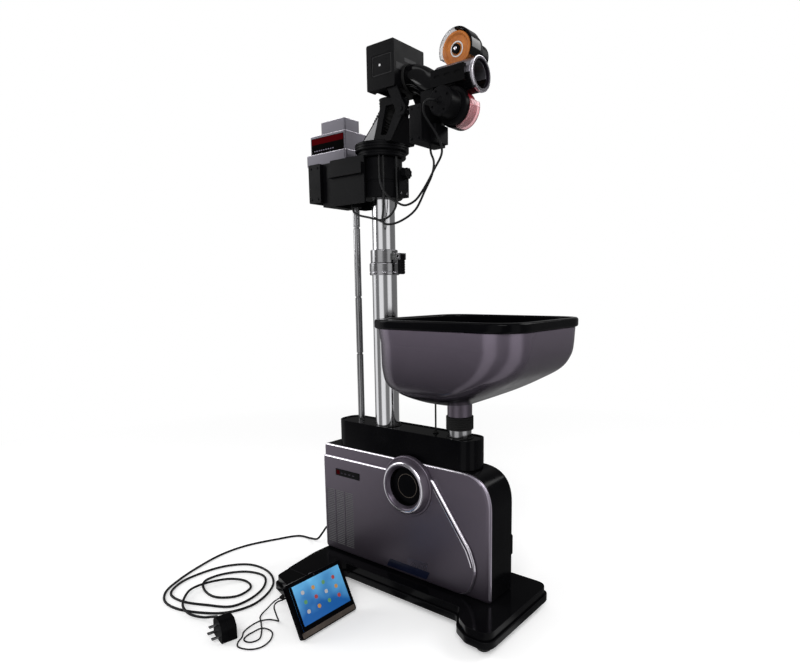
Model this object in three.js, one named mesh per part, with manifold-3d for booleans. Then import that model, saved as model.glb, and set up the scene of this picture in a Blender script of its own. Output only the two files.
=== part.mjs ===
// Table tennis robot: floor base, ball feed body, telescopic mast, ball hopper and shooting head.
// Millimetres, +Z up, +X the way the balls fly, origin on the floor under the middle of the outline.
import * as THREE from 'three';
import { mergeVertices } from 'three/addons/utils/BufferGeometryUtils.js';
import Module from 'manifold-3d';

// Clearances and finish shared by all pieces
const seat = 0.3;
const slip = 0.6;
const overrun = 3;
const weld = 0.001;
const ball = 40;

// Base: two feet joined by a bar, a steel frame below and a moulded cover above
const base = {
  foot: 15, frameTop: 29, coverTop: 44.5, wall: 3, inset: 4, corner: 26, tipCorner: 14, bevel: 2.5,
  barHalf: 80.5, left: -163, leftInner: -64, leftFront: -231, leftTaper: 20, leftSlant: 22,
  right: 338, rightInner: 238, rightFront: -128, back: 106, notch: 18,
  recess: 1.2, recessLeft: -158, recessRight: -84, recessFront: -206, recessBack: -166,
};
const pad = { top: 15, bottom: 11.5, edge: 2, margin: 27 };
const button = { radius: 6.5, proud: 2.6, travel: 2, stem: 2, x: -81, y: -158 };
const outlet = { radius: 5, length: 8, bore: 2, x: -89, z: 22 };

// Body: a casing ring closed by a front frame and a rear cover
const body = {
  left: -161, right: 284, top: 291, wall: 3, half: 40, shoulder: 67, corner: 9, foot: 6,
  frameFace: -37, frameWall: 4.7, coverFace: -43, rearWall: 3.7, bevel: 1.6,
};
const cover = {
  left: -160, top: 266, kneeX: 151, slopeX: 241, slopeZ: 144, lowX: 193, bulgeX: 256, bulgeZ: 104,
  kneeCorner: 12, slopeCorner: 60, lowCorner: 46, corner: 7, bevel: 2.6,
};
const vent = { left: -153, right: -68, bottom: 62, top: 190, columns: 3, rows: 12, rearRows: 3, gap: 6,
  slot: 3.2 };
const port = { x: 90, z: 241, base: 62, rim: 51, lip: 44, bore: 38.5, depth: 60.5, lipDepth: 52, disc: 7 };
const bump = { width: 22, height: 42, bottom: 112, depth: 10 };

// Cap over the body and what stands in it
const cap = { left: -125, right: 235.5, half: 32, bottom: 292, top: 350, wall: 3, lip: 4, dish: 2,
  bevel: 2 };
const stay = { x: 130, radius: 1.8, rise: 75, tip: 4, tipLength: 7, grommet: 6, grommetRise: 4 };

// Ball feed inside the body: balls fall on the right, ride round the wheel and rise under the mast
const feed = {
  z: 172, rise: 76, pockets: 10, pocketPlay: 0.8, play: 3.2, skin: 3, wheelHalf: 6, wheelTip: 5.5,
  slotPlay: 1.6,
  hub: 12, axle: 4, gearFront: 13, gearWidth: 5.5,
};
const gear = { module: 3, teeth: 24, pinionTeeth: 8, toothShare: 0.264, tipShare: 0.24,
  dedendumShare: 1.25 };
const feedMotor = { radius: 24, depth: 14, shaft: 2.5 };
const supply = { left: -152, right: -62, front: -27, back: 31, height: 52, corner: 3 };
const board = { left: -152, right: -96, bottom: 128, top: 262, thick: 1.6, standoff: 4, post: 3,
  margin: 9 };
const gland = { y: 16, z: 68, flange: 9, root: 6.5, tip: 3.9, length: 32, tail: 4 };

// Mast
const mast = {
  lower: 25.5, lowerBore: 23.8, lowerTop: 700, upper: 23.3, upperBore: 21.2, upperFoot: 500, upperTop: 880,
};
const clamp = { bottom: 664, step: 688, top: 715, wide: 30.5, narrow: 28, earX: 50, ear: 10, earBottom: 694,
  earTop: 707, lever: 5.6, leverIn: 41, leverOut: 51.5, leverFoot: 665, pivotX: 45, pin: 2.2 };
const rod = { x: -77, radius: 7.1, foot: 175, top: 822, notch: 1.6, notchLength: 4.5,
  notches: [497, 619, 765] };

// Hopper
const hopper = {
  x: 189, tube: 23, bore: 21.3, tubeTop: 378, neck: 24.2, collar: 26.8, collarFoot: 365, collarTop: 391,
  ribs: 2, rib: 0.9, left: 72.2, right: 383.8, half: 138, brim: 563.8, wall: 3, corner: 61.8, steps: 4,
};
const rim = { left: 70, right: 385.5, half: 139.5, height: 17.2, corner: 60, inner: 14, bevel: 5 };

// Mast head, bracket and receiver box
const head = { bottom: 815, top: 893, radius: 40, earFront: -4, earBack: 26, earDepth: 7, earTop: 874 };
const knob = { y: 11, z: 862, radius: 11, length: 12, stem: 4, lobes: 8, lobe: 1.5 };
const bracket = {
  left: -172, endRight: -136, midRight: -101, right: -5, half: 45, midHalf: 36, boxHalf: 49, endBottom: 818,
  bottom: 806, top: 897, strip: 7, stripBottom: 862, stripTop: 883, wall: 4, bevel: 1.5,
};
const receiver = {
  flangeLeft: -193, flangeRight: -72, flangeTop: 921, left: -184, right: -78, front: -26, back: 38, lip: 5,
  top: 960, upperLeft: -158, upperRight: -86, upperFront: -18, upperBack: 25, upperTop: 987,
};

// Turntable, yoke and neck
const yoke = {
  disc: 48, discTop: 905, plate: 54, plateTop: 920, corner: 12,
  cheekIn: 29, cheekOut: 35, footLeft: 8, footRight: 54, topLeft: 34, topLeftZ: 996, topRight: 104,
  topRightZ: 986, windowFoot: 929, windowTop: 981, windowLeft: 28, windowRight: 44, windowHeadLeft: 43,
  windowHeadRight: 67, web: 4, stay: 2, stayTopX: 34, stayTopZ: 993, stayFootX: -32,
};
const neck = { radius: 23.5, bore: 21, topX: 26, top: 1002, play: 7 };

// Tilting head
const tilt = { x: 84, z: 968, pin: 5, boss: 12, earWidth: 5, earRootLeft: 50, earRootRight: 74 };
const box = { left: 4, right: 74, half: 44, bottom: 1010, height: 83, wall: 3, bevel: 2, panel: 1.2,
  panelLeft: 17, panelRight: 67, panelFoot: 24, panelHead: 22 };
const barrel = { z: 1006, radius: 28.8, bore: 23.4, left: 150, right: 231, muzzle: 237.5, muzzleRing: 30 };
const elbow = { radius: 25, bore: 21.6, startZ: 1030 };
const rail = { left: 151, right: 224, bottom: 991, top: 1019.5, width: 5.5 };
const wheel = { x: 190, radius: 30, half: 11, nip: 38, hub: 8, hubProud: 2, dish: 3, dishRim: 7, play: 1.5,
  shaft: 3 };
const guard = { bore: 32.5, radius: 36, half: 12.6, plate: 2,
  startUpper: -28, endUpper: 200,
  startLower: -205, endLower: 12, steps: 18 };
const motor = { shroud: 33, shroudDepth: 13, can: 25, length: 32, edge: 2 };
const hanger = { left: 122, right: 150, front: -62, back: 12, bottom: 896.5, top: 960, neckFront: -27,
  neckTop: 992,
  step: 11, stepFront: -34, stepBack: 6, stepTop: 930 };

// Cables on the head, each in hand-chosen points
const cable = { radius: 2.1, sides: 8, step: 11 };
const cableRoutes = {
  head_cable_mast: [[-59, -30, 892.7], [-59, -30, 850], [-59, -30, 810], [-54, -31, 794], [-40, -33, 786],
    [-8, -34, 778], [22, -33, 771], [37, -27, 776], [45, -16, 792], [46, -10, 812], [43.8, -8, 835],
    [43.3, -7.5, 865], [43.3, -7.5, 892.7]],
  head_cable_tilt: [[30.4, -31.4, 892.7], [30.8, -32, 862], [31.5, -33, 835], [32.5, -34.5, 810], [33, -37,
  787],
    [34, -41, 770], [41, -43, 762], [55, -40, 760], [75, -34, 765], [108, -30, 783], [129, -26, 817],
    [143, -21, 847], [145, -19, 868], [138, -18, 884], [136, -18, 895.7]],
  head_cable_motor: [[24.5, -36.3, 892.7], [25, -37, 865], [28.5, -38.5, 840], [39, -38.5, 822], [52,
  -37.5, 810],
    [67, -37, 801], [88, -36, 793], [110, -34, 799], [128, -33, 815], [154, -31, 850], [172, -30, 880],
    [168, -38, 906],
    [162, -56, 928], [162, -69, 941], [169, -77, 952], [178, -77, 957], [183.3, -70, 957.5],
    [184, -59.9, 957]],
};

// Controller tablet and its lead
const tablet = { x: 41, near: -285, far: -148, height: 102, thick: 9, lean: 27, bezel: 7, strip: 13,
  glass: 1.2,
  corner: 5, standThick: 3, standLength: 58, standHalf: 34, hinge: 2.6, hingeShare: 0.62, foot: 1 };
const lead = { radius: 1.4, sides: 8, steps: 52 };
const power = { radius: 2.5, sides: 8, steps: 78 };
const plug = { x: -92, y: -357, z: 20, width: 46, height: 40, depth: 28, corner: 12, pin: 3, pinLong: 15,
  pinGap: 22, pinRise: 9, turn: -14, boss: 4.6, bossLength: 9 };
const powerRoute = [[-193.3, 16, 68], [-206, 16, 66.5], [-224, 17, 56], [-243, 18, 34], [-266, 21, 12],
  [-298, 25, 4], [-334, 19, 3], [-366, -33, 2.8], [-395, -102, 2.8], [-400, -165, 2.8], [-386, -231, 2.8],
  [-365, -290, 2.8], [-337, -339, 2.8], [-300, -362, 2.8], [-257, -363, 2.8], [-205, -344, 2.8],
  [-160, -311, 2.8],
  [-143, -268, 2.8], [-151, -225, 2.8], [-184, -178, 2.8], [-240, -152, 2.8], [-300, -157, 2.8],
  [-338, -195, 2.8], [-352, -250, 2.8], [-348, -300, 2.8], [-320, -338, 2.8], [-274, -341, 2.8],
  [-215, -317, 2.8], [-172, -291, 2.8], [-166, -253, 2.8], [-185, -203, 2.8], [-226, -172, 2.8],
  [-276, -183, 2.8], [-310, -226, 2.8], [-311, -265, 2.8], [-272, -288, 2.8], [-228, -288, 2.8],
  [-198, -258, 2.8], [-206, -221, 2.8], [-240, -211, 3.6], [-269, -232, 7.6], [-289, -276, 9.8],
  [-291, -308, 9.4], [-268, -337, 9.8], [-238, -357, 9.8], [-205, -362, 8], [-172, -354, 9],
  [-148, -346.5, 15],
  [-135, -346.3, 19.5], [-123.3, -349.2, 20]];
const leadRoute = [[-91.3, -232.4, 22], [-94.8, -244, 18], [-99.5, -257, 8], [-100.5, -268, 2.6],
  [-94, -279, 1.8],
  [-78, -289, 1.8], [-49, -309, 1.8], [-33, -327, 1.8], [-36, -340, 1.8], [-44, -345, 1.8],
  [-54, -344, 1.8],
  [-60, -334, 1.8], [-60, -321, 2.6], [-54, -305, 5.2], [-43, -297, 2.6], [-30, -299, 1.8],
  [-14, -316, 1.8],
  [-9, -338, 1.8], [-17, -353, 1.8], [-33, -362, 1.8], [-46, -363, 1.8], [-56, -355, 1.8], [-64, -341, 1.8],
  [-75, -330, 1.8], [-80, -314, 2.8], [-77, -293, 5.4], [-70, -275, 2.8], [-56, -268, 2.2], [-44, -273, 8],
  [-35, -282, 22], [-27, -292, 41], [-19, -300, 57], [-11, -303.5, 68], [-4.5, -301, 74],
  [-1.2, -294.5, 75],
  [-1, -285.4, 75]];

// Colours
const black = { color: 0x101012, roughness: 0.45, metalness: 0.1 };
const gloss = { color: 0x0a0a0c, roughness: 0.2, metalness: 0.1 };
const purple = { color: 0x6d6570, roughness: 0.35, metalness: 0.5 };
const chrome = { color: 0xc9c9cf, roughness: 0.25, metalness: 0.9 };
const silver = { color: 0xb4b2ba, roughness: 0.35, metalness: 0.6 };
const rubber = { color: 0x161616, roughness: 0.85, metalness: 0 };
const amber = { color: 0xd07a24, roughness: 0.35, metalness: 0.1 };
const red = { color: 0x8c1420, roughness: 0.35, metalness: 0.1 };
const smoke = { color: 0x6f7276, roughness: 0.2, metalness: 0.1 };
const green = { color: 0x1d5a35, roughness: 0.6, metalness: 0 };
const bronze = { color: 0x8d8078, roughness: 0.4, metalness: 0.6 };
const blue = { color: 0x4aa6e0, roughness: 0.2, metalness: 0 };
const ivory = { color: 0xd9d6cc, roughness: 0.5, metalness: 0 };

const wasm = await Module();
wasm.setup();
const robot = new THREE.Group();

// Mesh helpers
function volumeOf(position, index) {
  const a = new THREE.Vector3();
  const b = new THREE.Vector3();
  const c = new THREE.Vector3();
  let sum = 0;
  for (let i = 0; i < index.length; i += 3) {
    a.fromBufferAttribute(position, index[i]);
    b.fromBufferAttribute(position, index[i + 1]);
    c.fromBufferAttribute(position, index[i + 2]);
    sum += a.dot(b.cross(c));
  }
  return sum / 6;
}

// Closed, welded and facing out
function clean(geometry) {
  const bare = new THREE.BufferGeometry();
  bare.setAttribute('position', geometry.getAttribute('position').clone());
  if (geometry.index) bare.setIndex(geometry.index.clone());
  const merged = mergeVertices(bare, weld);
  const corners = merged.index.array;
  const kept = [];
  for (let i = 0; i < corners.length; i += 3) {
    const [a, b, c] = [corners[i], corners[i + 1], corners[i + 2]];
    if (a !== b && b !== c && c !== a) kept.push(a, b, c);
  }
  if (volumeOf(merged.getAttribute('position'), kept) < 0) kept.reverse();
  merged.setIndex(kept);
  return merged;
}

function toSolid(geometry) {
  const closed = clean(geometry);
  return new wasm.Manifold(new wasm.Mesh({
    numProp: 3,
    vertProperties: new Float32Array(closed.getAttribute('position').array),
    triVerts: new Uint32Array(closed.index.array),
  }));
}

function fromSolid(solid) {
  const mesh = solid.getMesh();
  const geometry = new THREE.BufferGeometry();
  geometry.setAttribute('position', new THREE.BufferAttribute(new Float32Array(mesh.vertProperties), 3));
  geometry.setIndex(Array.from(mesh.triVerts));
  return geometry;
}

function fuse(first, ...others) {
  return fromSolid(others.reduce((sum, other) => sum.add(toSolid(other)), toSolid(first)));
}

function carve(first, ...cutters) {
  return fromSolid(cutters.reduce((rest, cutter) => rest.subtract(toSolid(cutter)), toSolid(first)));
}

function common(first, second) {
  return fromSolid(toSolid(first).intersect(toSolid(second)));
}

function piece(name, geometry, look) {
  const mesh = new THREE.Mesh(clean(geometry).translate(...home), new THREE.MeshStandardMaterial(look));
  mesh.name = name;
  mesh.geometry.computeVertexNormals();
  robot.add(mesh);
  return mesh;
}

// Plain shapes in the part's frame
const axisX = new THREE.Vector3(1, 0, 0);
const axisY = new THREE.Vector3(0, 1, 0);
const axisZ = new THREE.Vector3(0, 0, 1);
const along = {
  x: new THREE.Matrix4().makeBasis(axisY, axisZ, axisX),
  y: new THREE.Matrix4().makeBasis(axisX, axisZ, axisY.clone().negate()),
  z: new THREE.Matrix4(),
};
// The dimensions above start under the mast; the finished part starts under the middle of its outline
const home = [-(receiver.flangeLeft + rim.right) / 2, -(tablet.near + rim.half) / 2, 0];

function block(x0, x1, y0, y1, z0, z1) {
  const geometry = new THREE.BoxGeometry(x1 - x0, y1 - y0, z1 - z0);
  return geometry.translate((x0 + x1) / 2, (y0 + y1) / 2, (z0 + z1) / 2);
}

function post(radius, z0, z1, x = 0, y = 0, sides = 24) {
  const geometry = new THREE.CylinderGeometry(radius, radius, z1 - z0, sides);
  return geometry.rotateX(Math.PI / 2).translate(x, y, (z0 + z1) / 2);
}

function barY(radius, y0, y1, x, z, sides = 24) {
  return new THREE.CylinderGeometry(radius, radius, y1 - y0, sides).translate(x, (y0 + y1) / 2, z);
}

function barX(radius, x0, x1, y, z, sides = 24) {
  const geometry = new THREE.CylinderGeometry(radius, radius, x1 - x0, sides);
  return geometry.rotateZ(Math.PI / 2).translate((x0 + x1) / 2, y, z);
}

// Outline with a round at each corner: points [u, v, radius]
function rounded(points, radius = 0, steps = 3) {
  const outline = [];
  points.forEach((point, i) => {
    const corner = new THREE.Vector2(point[0], point[1]);
    const before = points[(i + points.length - 1) % points.length];
    const after = points[(i + 1) % points.length];
    const back = new THREE.Vector2(before[0], before[1]).sub(corner);
    const on = new THREE.Vector2(after[0], after[1]).sub(corner);
    const wanted = point[2] ?? radius;
    const half = Math.abs(Math.atan2(back.cross(on), back.dot(on))) / 2;
    const reach = Math.min(wanted / Math.tan(half), back.length() * 0.49, on.length() * 0.49);
    if (reach <= 0) {
      outline.push(corner);
      return;
    }
    const start = corner.clone().addScaledVector(back.normalize(), reach);
    const end = corner.clone().addScaledVector(on.normalize(), reach);
    const curve = new THREE.QuadraticBezierCurve(start, corner, end);
    const arcSteps = Math.max(2, Math.round(steps * (1 - half / Math.PI) * 2 - steps / 2));
    outline.push(...curve.getPoints(arcSteps));
  });
  return outline;
}

// Outline pulled through along an axis, with an optional bevel on both rims
function slab(axis, outline, from, to, bevel = 0, holes = []) {
  const shape = new THREE.Shape(outline);
  shape.holes = holes.map((hole) => new THREE.Path(hole));
  const geometry = new THREE.ExtrudeGeometry(shape, {
    depth: to - from - 2 * bevel, steps: 1, curveSegments: 1,
    bevelEnabled: bevel > 0, bevelThickness: bevel, bevelSize: bevel, bevelOffset: -bevel, bevelSegments: 1,
  });
  geometry.translate(0, 0, bevel + (axis === 'y' ? -to : from));
  return geometry.applyMatrix4(along[axis]);
}

// Profile of [radius, height] turned round an axis through the origin
function turned(profile, sides = 24) {
  const points = profile.map(([r, h]) => new THREE.Vector2(r, h));
  return new THREE.LatheGeometry(points, sides);
}

function turnedZ(profile, x = 0, y = 0, sides = 24) {
  return turned(profile, sides).rotateX(Math.PI / 2).translate(x, y, 0);
}

function turnedY(profile, x, z, sides = 24) {
  return turned(profile, sides).translate(x, 0, z);
}

function turnedX(profile, y, z, sides = 24) {
  return turned(profile, sides).rotateZ(-Math.PI / 2).translate(0, y, z);
}

// Round tube on a path
function circle(radius, sides) {
  const points = [];
  for (let i = 0; i < sides; i += 1) {
    const angle = (i / sides) * 2 * Math.PI;
    points.push(new THREE.Vector2(radius * Math.cos(angle), radius * Math.sin(angle)));
  }
  return points;
}

function onPath(path, radius, sides, steps, bore = 0) {
  const shape = new THREE.Shape(circle(radius, sides));
  if (bore > 0) shape.holes.push(new THREE.Path(circle(bore, sides)));
  return new THREE.ExtrudeGeometry(shape, { steps, curveSegments: 1, bevelEnabled: false,
    extrudePath: path });
}

function spline(points) {
  return new THREE.CatmullRomCurve3(points.map((p) => new THREE.Vector3(...p)), false, 'centripetal');
}

// Skin through rings of points, closed end to end
function loft(rings) {
  const count = rings[0].length;
  const position = rings.flat().flatMap((p) => [p.x, p.y, p.z]);
  const index = [];
  rings.forEach((ring, r) => {
    const next = ((r + 1) % rings.length) * count;
    ring.forEach((point, i) => {
      const [a, b] = [r * count + i, r * count + ((i + 1) % count)];
      const [c, d] = [next + i, next + ((i + 1) % count)];
      index.push(a, b, d, a, d, c);
    });
  });
  const geometry = new THREE.BufferGeometry();
  geometry.setAttribute('position', new THREE.Float32BufferAttribute(position, 3));
  geometry.setIndex(index);
  return geometry;
}

function baseOutline(inset) {
  const b = base;
  const tip = b.leftFront + b.leftSlant;
  return rounded([
    [b.left + inset, b.back - inset, b.corner],
    [b.left + inset, -b.barHalf, b.corner],
    [b.left + b.leftTaper + inset, tip + inset, b.tipCorner],
    [b.leftInner - inset, b.leftFront + inset, b.tipCorner],
    [b.leftInner - inset, -b.barHalf + inset, b.tipCorner],
    [b.rightInner + inset, -b.barHalf + inset, b.tipCorner],
    [b.rightInner + b.notch + inset, b.rightFront + b.notch + inset, b.corner],
    [(b.rightInner + b.right) / 2, b.rightFront + inset, b.corner],
    [b.right - inset, b.rightFront + inset, b.corner],
    [b.right - inset, b.back - inset, b.corner],
    [b.rightInner + inset, b.back - inset, b.corner],
    [b.rightInner + inset, b.barHalf - inset, b.tipCorner],
    [b.leftInner - inset, b.barHalf - inset, b.tipCorner],
    [b.leftInner - inset, b.back - inset, b.tipCorner],
  ]);
}

// Base frame, cover and feet
function buildBase() {
  const b = base;
  const inner = baseOutline(b.wall);
  const tray = slab('z', baseOutline(0), b.foot, b.frameTop, b.bevel);
  const frame = carve(tray, slab('z', inner, b.foot - overrun, b.frameTop - b.wall));
  const coverBottom = b.frameTop + seat;
  const shell = slab('z', baseOutline(b.inset), coverBottom, b.coverTop, b.bevel);
  const hollow = slab('z', baseOutline(b.inset + b.wall), coverBottom - overrun, b.coverTop - b.wall);
  const dent = rounded([
    [b.recessLeft, b.recessFront], [b.recessRight, b.recessFront],
    [b.recessRight, b.recessBack], [b.recessLeft, b.recessBack],
  ], b.inset);
  const hole = post(button.radius + slip, coverBottom - overrun, b.coverTop + overrun, button.x, button.y,
    24);
  piece('base_frame', frame, black);
  piece('base_cover', carve(shell, hollow, slab('z', dent, b.coverTop - b.recess, b.coverTop + overrun),
    hole), gloss);

  const rise = b.coverTop + button.proud;
  const flange = b.coverTop - b.wall - seat;
  piece('standby_button', turnedZ([
    [0, flange - button.travel], [button.radius + button.stem, flange - button.travel],
    [button.radius + button.stem, flange], [button.radius, flange],
    [button.radius, rise - button.travel / 2], [button.radius - button.travel / 2, rise], [0, rise],
  ], button.x, button.y, 14), silver);

  const leftX = b.left + pad.margin + b.leftTaper / 2;
  const rightX = b.right - pad.margin;
  const spots = [
    [leftX, b.leftFront + b.leftSlant + pad.margin], [leftX, b.back - pad.margin],
    [rightX, b.rightFront + pad.margin], [rightX, b.back - pad.margin],
  ];
  const padTop = b.frameTop - b.wall - seat;
  spots.forEach(([x, y], i) => {
    piece(`foot_pad_${i + 1}`, turnedZ([
      [0, 0], [pad.bottom, 0], [pad.bottom + pad.edge, pad.edge], [pad.top, b.foot - seat],
      [pad.top - pad.edge, b.foot - seat], [pad.top - pad.edge, padTop], [0, padTop],
    ], x, y, 14), rubber);
  });
}

// Where the tablet's lead leaves the left foot
function outletPlace() {
  const slope = new THREE.Vector2(base.leftInner - base.left - base.leftTaper, -base.leftSlant);
  const share = (outlet.x - base.left - base.leftTaper) / slope.x;
  const y = base.leftFront + base.leftSlant + slope.y * share;
  const out = new THREE.Vector3(slope.y, -slope.x, 0).normalize();
  return { at: new THREE.Vector3(outlet.x, y, outlet.z), out };
}

function buildOutlet() {
  const { at, out } = outletPlace();
  const turn = new THREE.Quaternion().setFromUnitVectors(axisY, out);
  const body0 = turned([
    [outlet.bore, 0], [outlet.radius, 0], [outlet.radius, outlet.length - outlet.bore],
    [outlet.radius - outlet.bore, outlet.length], [outlet.bore, outlet.length], [outlet.bore, 0],
  ], 12);
  const place = at.clone().addScaledVector(out, seat);
  piece('lead_grommet', body0.applyQuaternion(turn).translate(place.x, place.y, place.z), rubber);
}

function bodyOutline(inset) {
  const b = body;
  return rounded([
    [b.left + inset, base.coverTop + seat + inset, b.foot],
    [b.left + inset, b.top - inset, Math.max(b.corner - inset, inset)],
    [b.right - inset, b.top - inset, b.shoulder - inset],
    [b.right - inset, base.coverTop + seat + inset, b.foot],
  ], 0, 5);
}

// Casing ring, front frame and rear cover
function buildBody() {
  const b = body;
  const casingFront = b.frameFace + b.frameWall + seat;
  const casingBack = b.half - b.rearWall - seat;
  const ring = slab('y', bodyOutline(0), casingFront, casingBack, 0, [bodyOutline(b.wall).reverse()]);
  const top = b.top + overrun;
  const under = b.top - b.wall - overrun;
  piece('body_casing', carve(ring,
    post(mast.lower + seat, under, top, 0, 0),
    post(rod.radius + slip, under, top, rod.x, 0, 20),
    post(hopper.tube + seat, under, top, hopper.x, 0),
    barX(gland.root + seat, b.left - overrun, b.left + b.wall + overrun, gland.y, gland.z, 20)), black);

  piece('front_frame', slab('y', bodyOutline(0), b.frameFace, b.frameFace + b.frameWall, b.bevel), purple);

  const rear = slab('y', bodyOutline(0), b.half - b.rearWall, b.half, b.bevel);
  const bumpRight = b.right - b.foot / 2;
  const boss = slab('y', rounded([
    [bumpRight - bump.width, bump.bottom], [bumpRight, bump.bottom],
    [bumpRight, bump.bottom + bump.height], [bumpRight - bump.width, bump.bottom + bump.height],
  ], b.foot / 2), b.half - b.rearWall / 2, b.half + bump.depth, b.bevel);
  const slots = ventSlots(b.half - overrun * 2, b.half + overrun, vent.rearRows);
  const axle = barY(feed.axle, b.frameFace + b.frameWall + seat, b.half - b.rearWall / 2, hopper.x / 2,
    feed.z, 16);
  piece('rear_cover', carve(fuse(rear, boss, axle), ...slots), black);
}

// Slots of the vent field between two depths
function ventSlots(y0, y1, rows) {
  const v = vent;
  const width = (v.right - v.left - v.gap * (v.columns - 1)) / v.columns;
  const pitch = (v.top - v.bottom) / rows;
  const slots = [];
  for (let c = 0; c < v.columns; c += 1) {
    for (let r = 0; r < rows; r += 1) {
      const x = v.left + c * (width + v.gap);
      const z = v.bottom + (r + 0.5) * pitch;
      slots.push(block(x, x + width, y0, y1, z - v.slot / 2, z + v.slot / 2));
    }
  }
  return slots;
}

function buildFrontCover() {
  const c = cover;
  const bottom = base.coverTop + seat + body.bevel;
  const outline = rounded([
    [c.left, bottom, c.corner], [c.left, c.top, c.corner], [c.kneeX, c.top, c.kneeCorner],
    [c.slopeX, c.slopeZ, c.slopeCorner], [c.bulgeX, c.bulgeZ, c.slopeCorner],
    [c.lowX + c.lowCorner, bottom, c.lowCorner],
  ], 0, 6);
  const back = body.frameFace - seat;
  const panel = slab('y', outline, body.coverFace, back, c.bevel);
  const hole = barY(port.base + seat, body.coverFace - overrun, back + overrun, port.x, port.z, 30);
  piece('front_cover', carve(panel, hole, ...ventSlots(body.coverFace - overrun, back + overrun,
    vent.rows)), purple);
}

// Round bezel and its dark disc
function buildPort() {
  const p = port;
  const back = body.frameFace - seat;
  const face = -p.depth;
  piece('porthole_ring', turnedY([
    [p.bore, back], [p.base, back], [p.base, body.coverFace - seat],
    [p.rim + (p.base - p.rim) / 3, face / 2 + body.coverFace / 2],
    [p.rim, face + body.bevel], [p.rim - body.bevel, face], [p.lip, face], [p.bore, -p.lipDepth],
    [p.bore, back],
  ], p.x, p.z, 30), chrome);
  piece('porthole_disc', turnedY([
    [0, back], [p.bore - seat, back], [p.bore - seat, back - p.disc + body.bevel],
    [p.bore - seat - body.bevel, back - p.disc], [0, back - p.disc],
  ], p.x, p.z, 28), gloss);
}

function capOutline(inset) {
  const c = cap;
  return rounded([
    [c.left + inset, -c.half + inset], [c.right - inset, -c.half + inset],
    [c.right - inset, c.half - inset], [c.left + inset, c.half - inset],
  ], c.half - inset - overrun, 5);
}

// Cap on the body, with the holes that the poles pass
function buildCap() {
  const c = cap;
  const shell = slab('z', capOutline(0), c.bottom, c.top, c.bevel);
  const hollow = slab('z', capOutline(c.wall), c.bottom - overrun, c.top - c.wall - c.dish);
  const dish = slab('z', capOutline(c.lip), c.top - c.dish, c.top + overrun);
  const top = c.top + overrun;
  const under = c.bottom - overrun;
  piece('top_cap', carve(shell, hollow, dish,
    post(mast.lower + seat, under, top, 0, 0),
    post(rod.radius + slip, under, top, rod.x, 0, 20),
    post(stay.radius + seat, under, top, stay.x, 0, 12),
    post(hopper.tube + seat, under, top, hopper.x, 0)), black);

  const deck = c.top - c.dish + seat;
  const foot = c.bottom + seat;
  const tip = c.top + stay.rise;
  piece('hopper_stay', turnedZ([
    [0, foot], [stay.radius, foot], [stay.radius, deck], [stay.grommet, deck],
    [stay.grommet, deck + stay.grommetRise / 2], [stay.radius + seat, deck + stay.grommetRise],
    [stay.radius, deck + stay.grommetRise], [stay.radius, tip - stay.tipLength],
    [stay.tip, tip - stay.tipLength], [stay.tip, tip - stay.tip / 2], [stay.tip / 2, tip], [0, tip],
  ], stay.x, 0, 8), rubber);
}

// Gear outline with trapezoid teeth; the first gap is centred on the given angle
function gearOutline(teeth, phase) {
  const pitch = gear.module * teeth / 2;
  const tip = pitch + gear.module;
  const root = pitch - gear.module * gear.dedendumShare;
  const step = (2 * Math.PI) / teeth;
  const points = [];
  for (let i = 0; i < teeth; i += 1) {
    const centre = phase + (i + 0.5) * step;
    const foot = step * gear.toothShare;
    const crown = step * gear.tipShare / 2;
    [[root, -foot], [tip, -crown], [tip, crown], [root, foot]].forEach(([r, a]) => {
      points.push(new THREE.Vector2(r * Math.cos(centre + a), r * Math.sin(centre + a)));
    });
  }
  return points;
}

// Centre line of the ball track: down from the mast, round the wheel and up to the hopper tube
class FeedBend extends THREE.Curve {
  getPoint(t, target = new THREE.Vector3()) {
    const ring = hopper.x / 2;
    const bend = Math.PI * ring;
    const way = t * (2 * feed.rise + bend);
    if (way < feed.rise) return target.set(0, 0, feed.z + feed.rise - way);
    if (way > feed.rise + bend) return target.set(hopper.x, 0, feed.z + way - feed.rise - bend);
    const angle = Math.PI + (way - feed.rise) / ring;
    return target.set(ring + ring * Math.cos(angle), 0, feed.z + ring * Math.sin(angle));
  }
}

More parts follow.
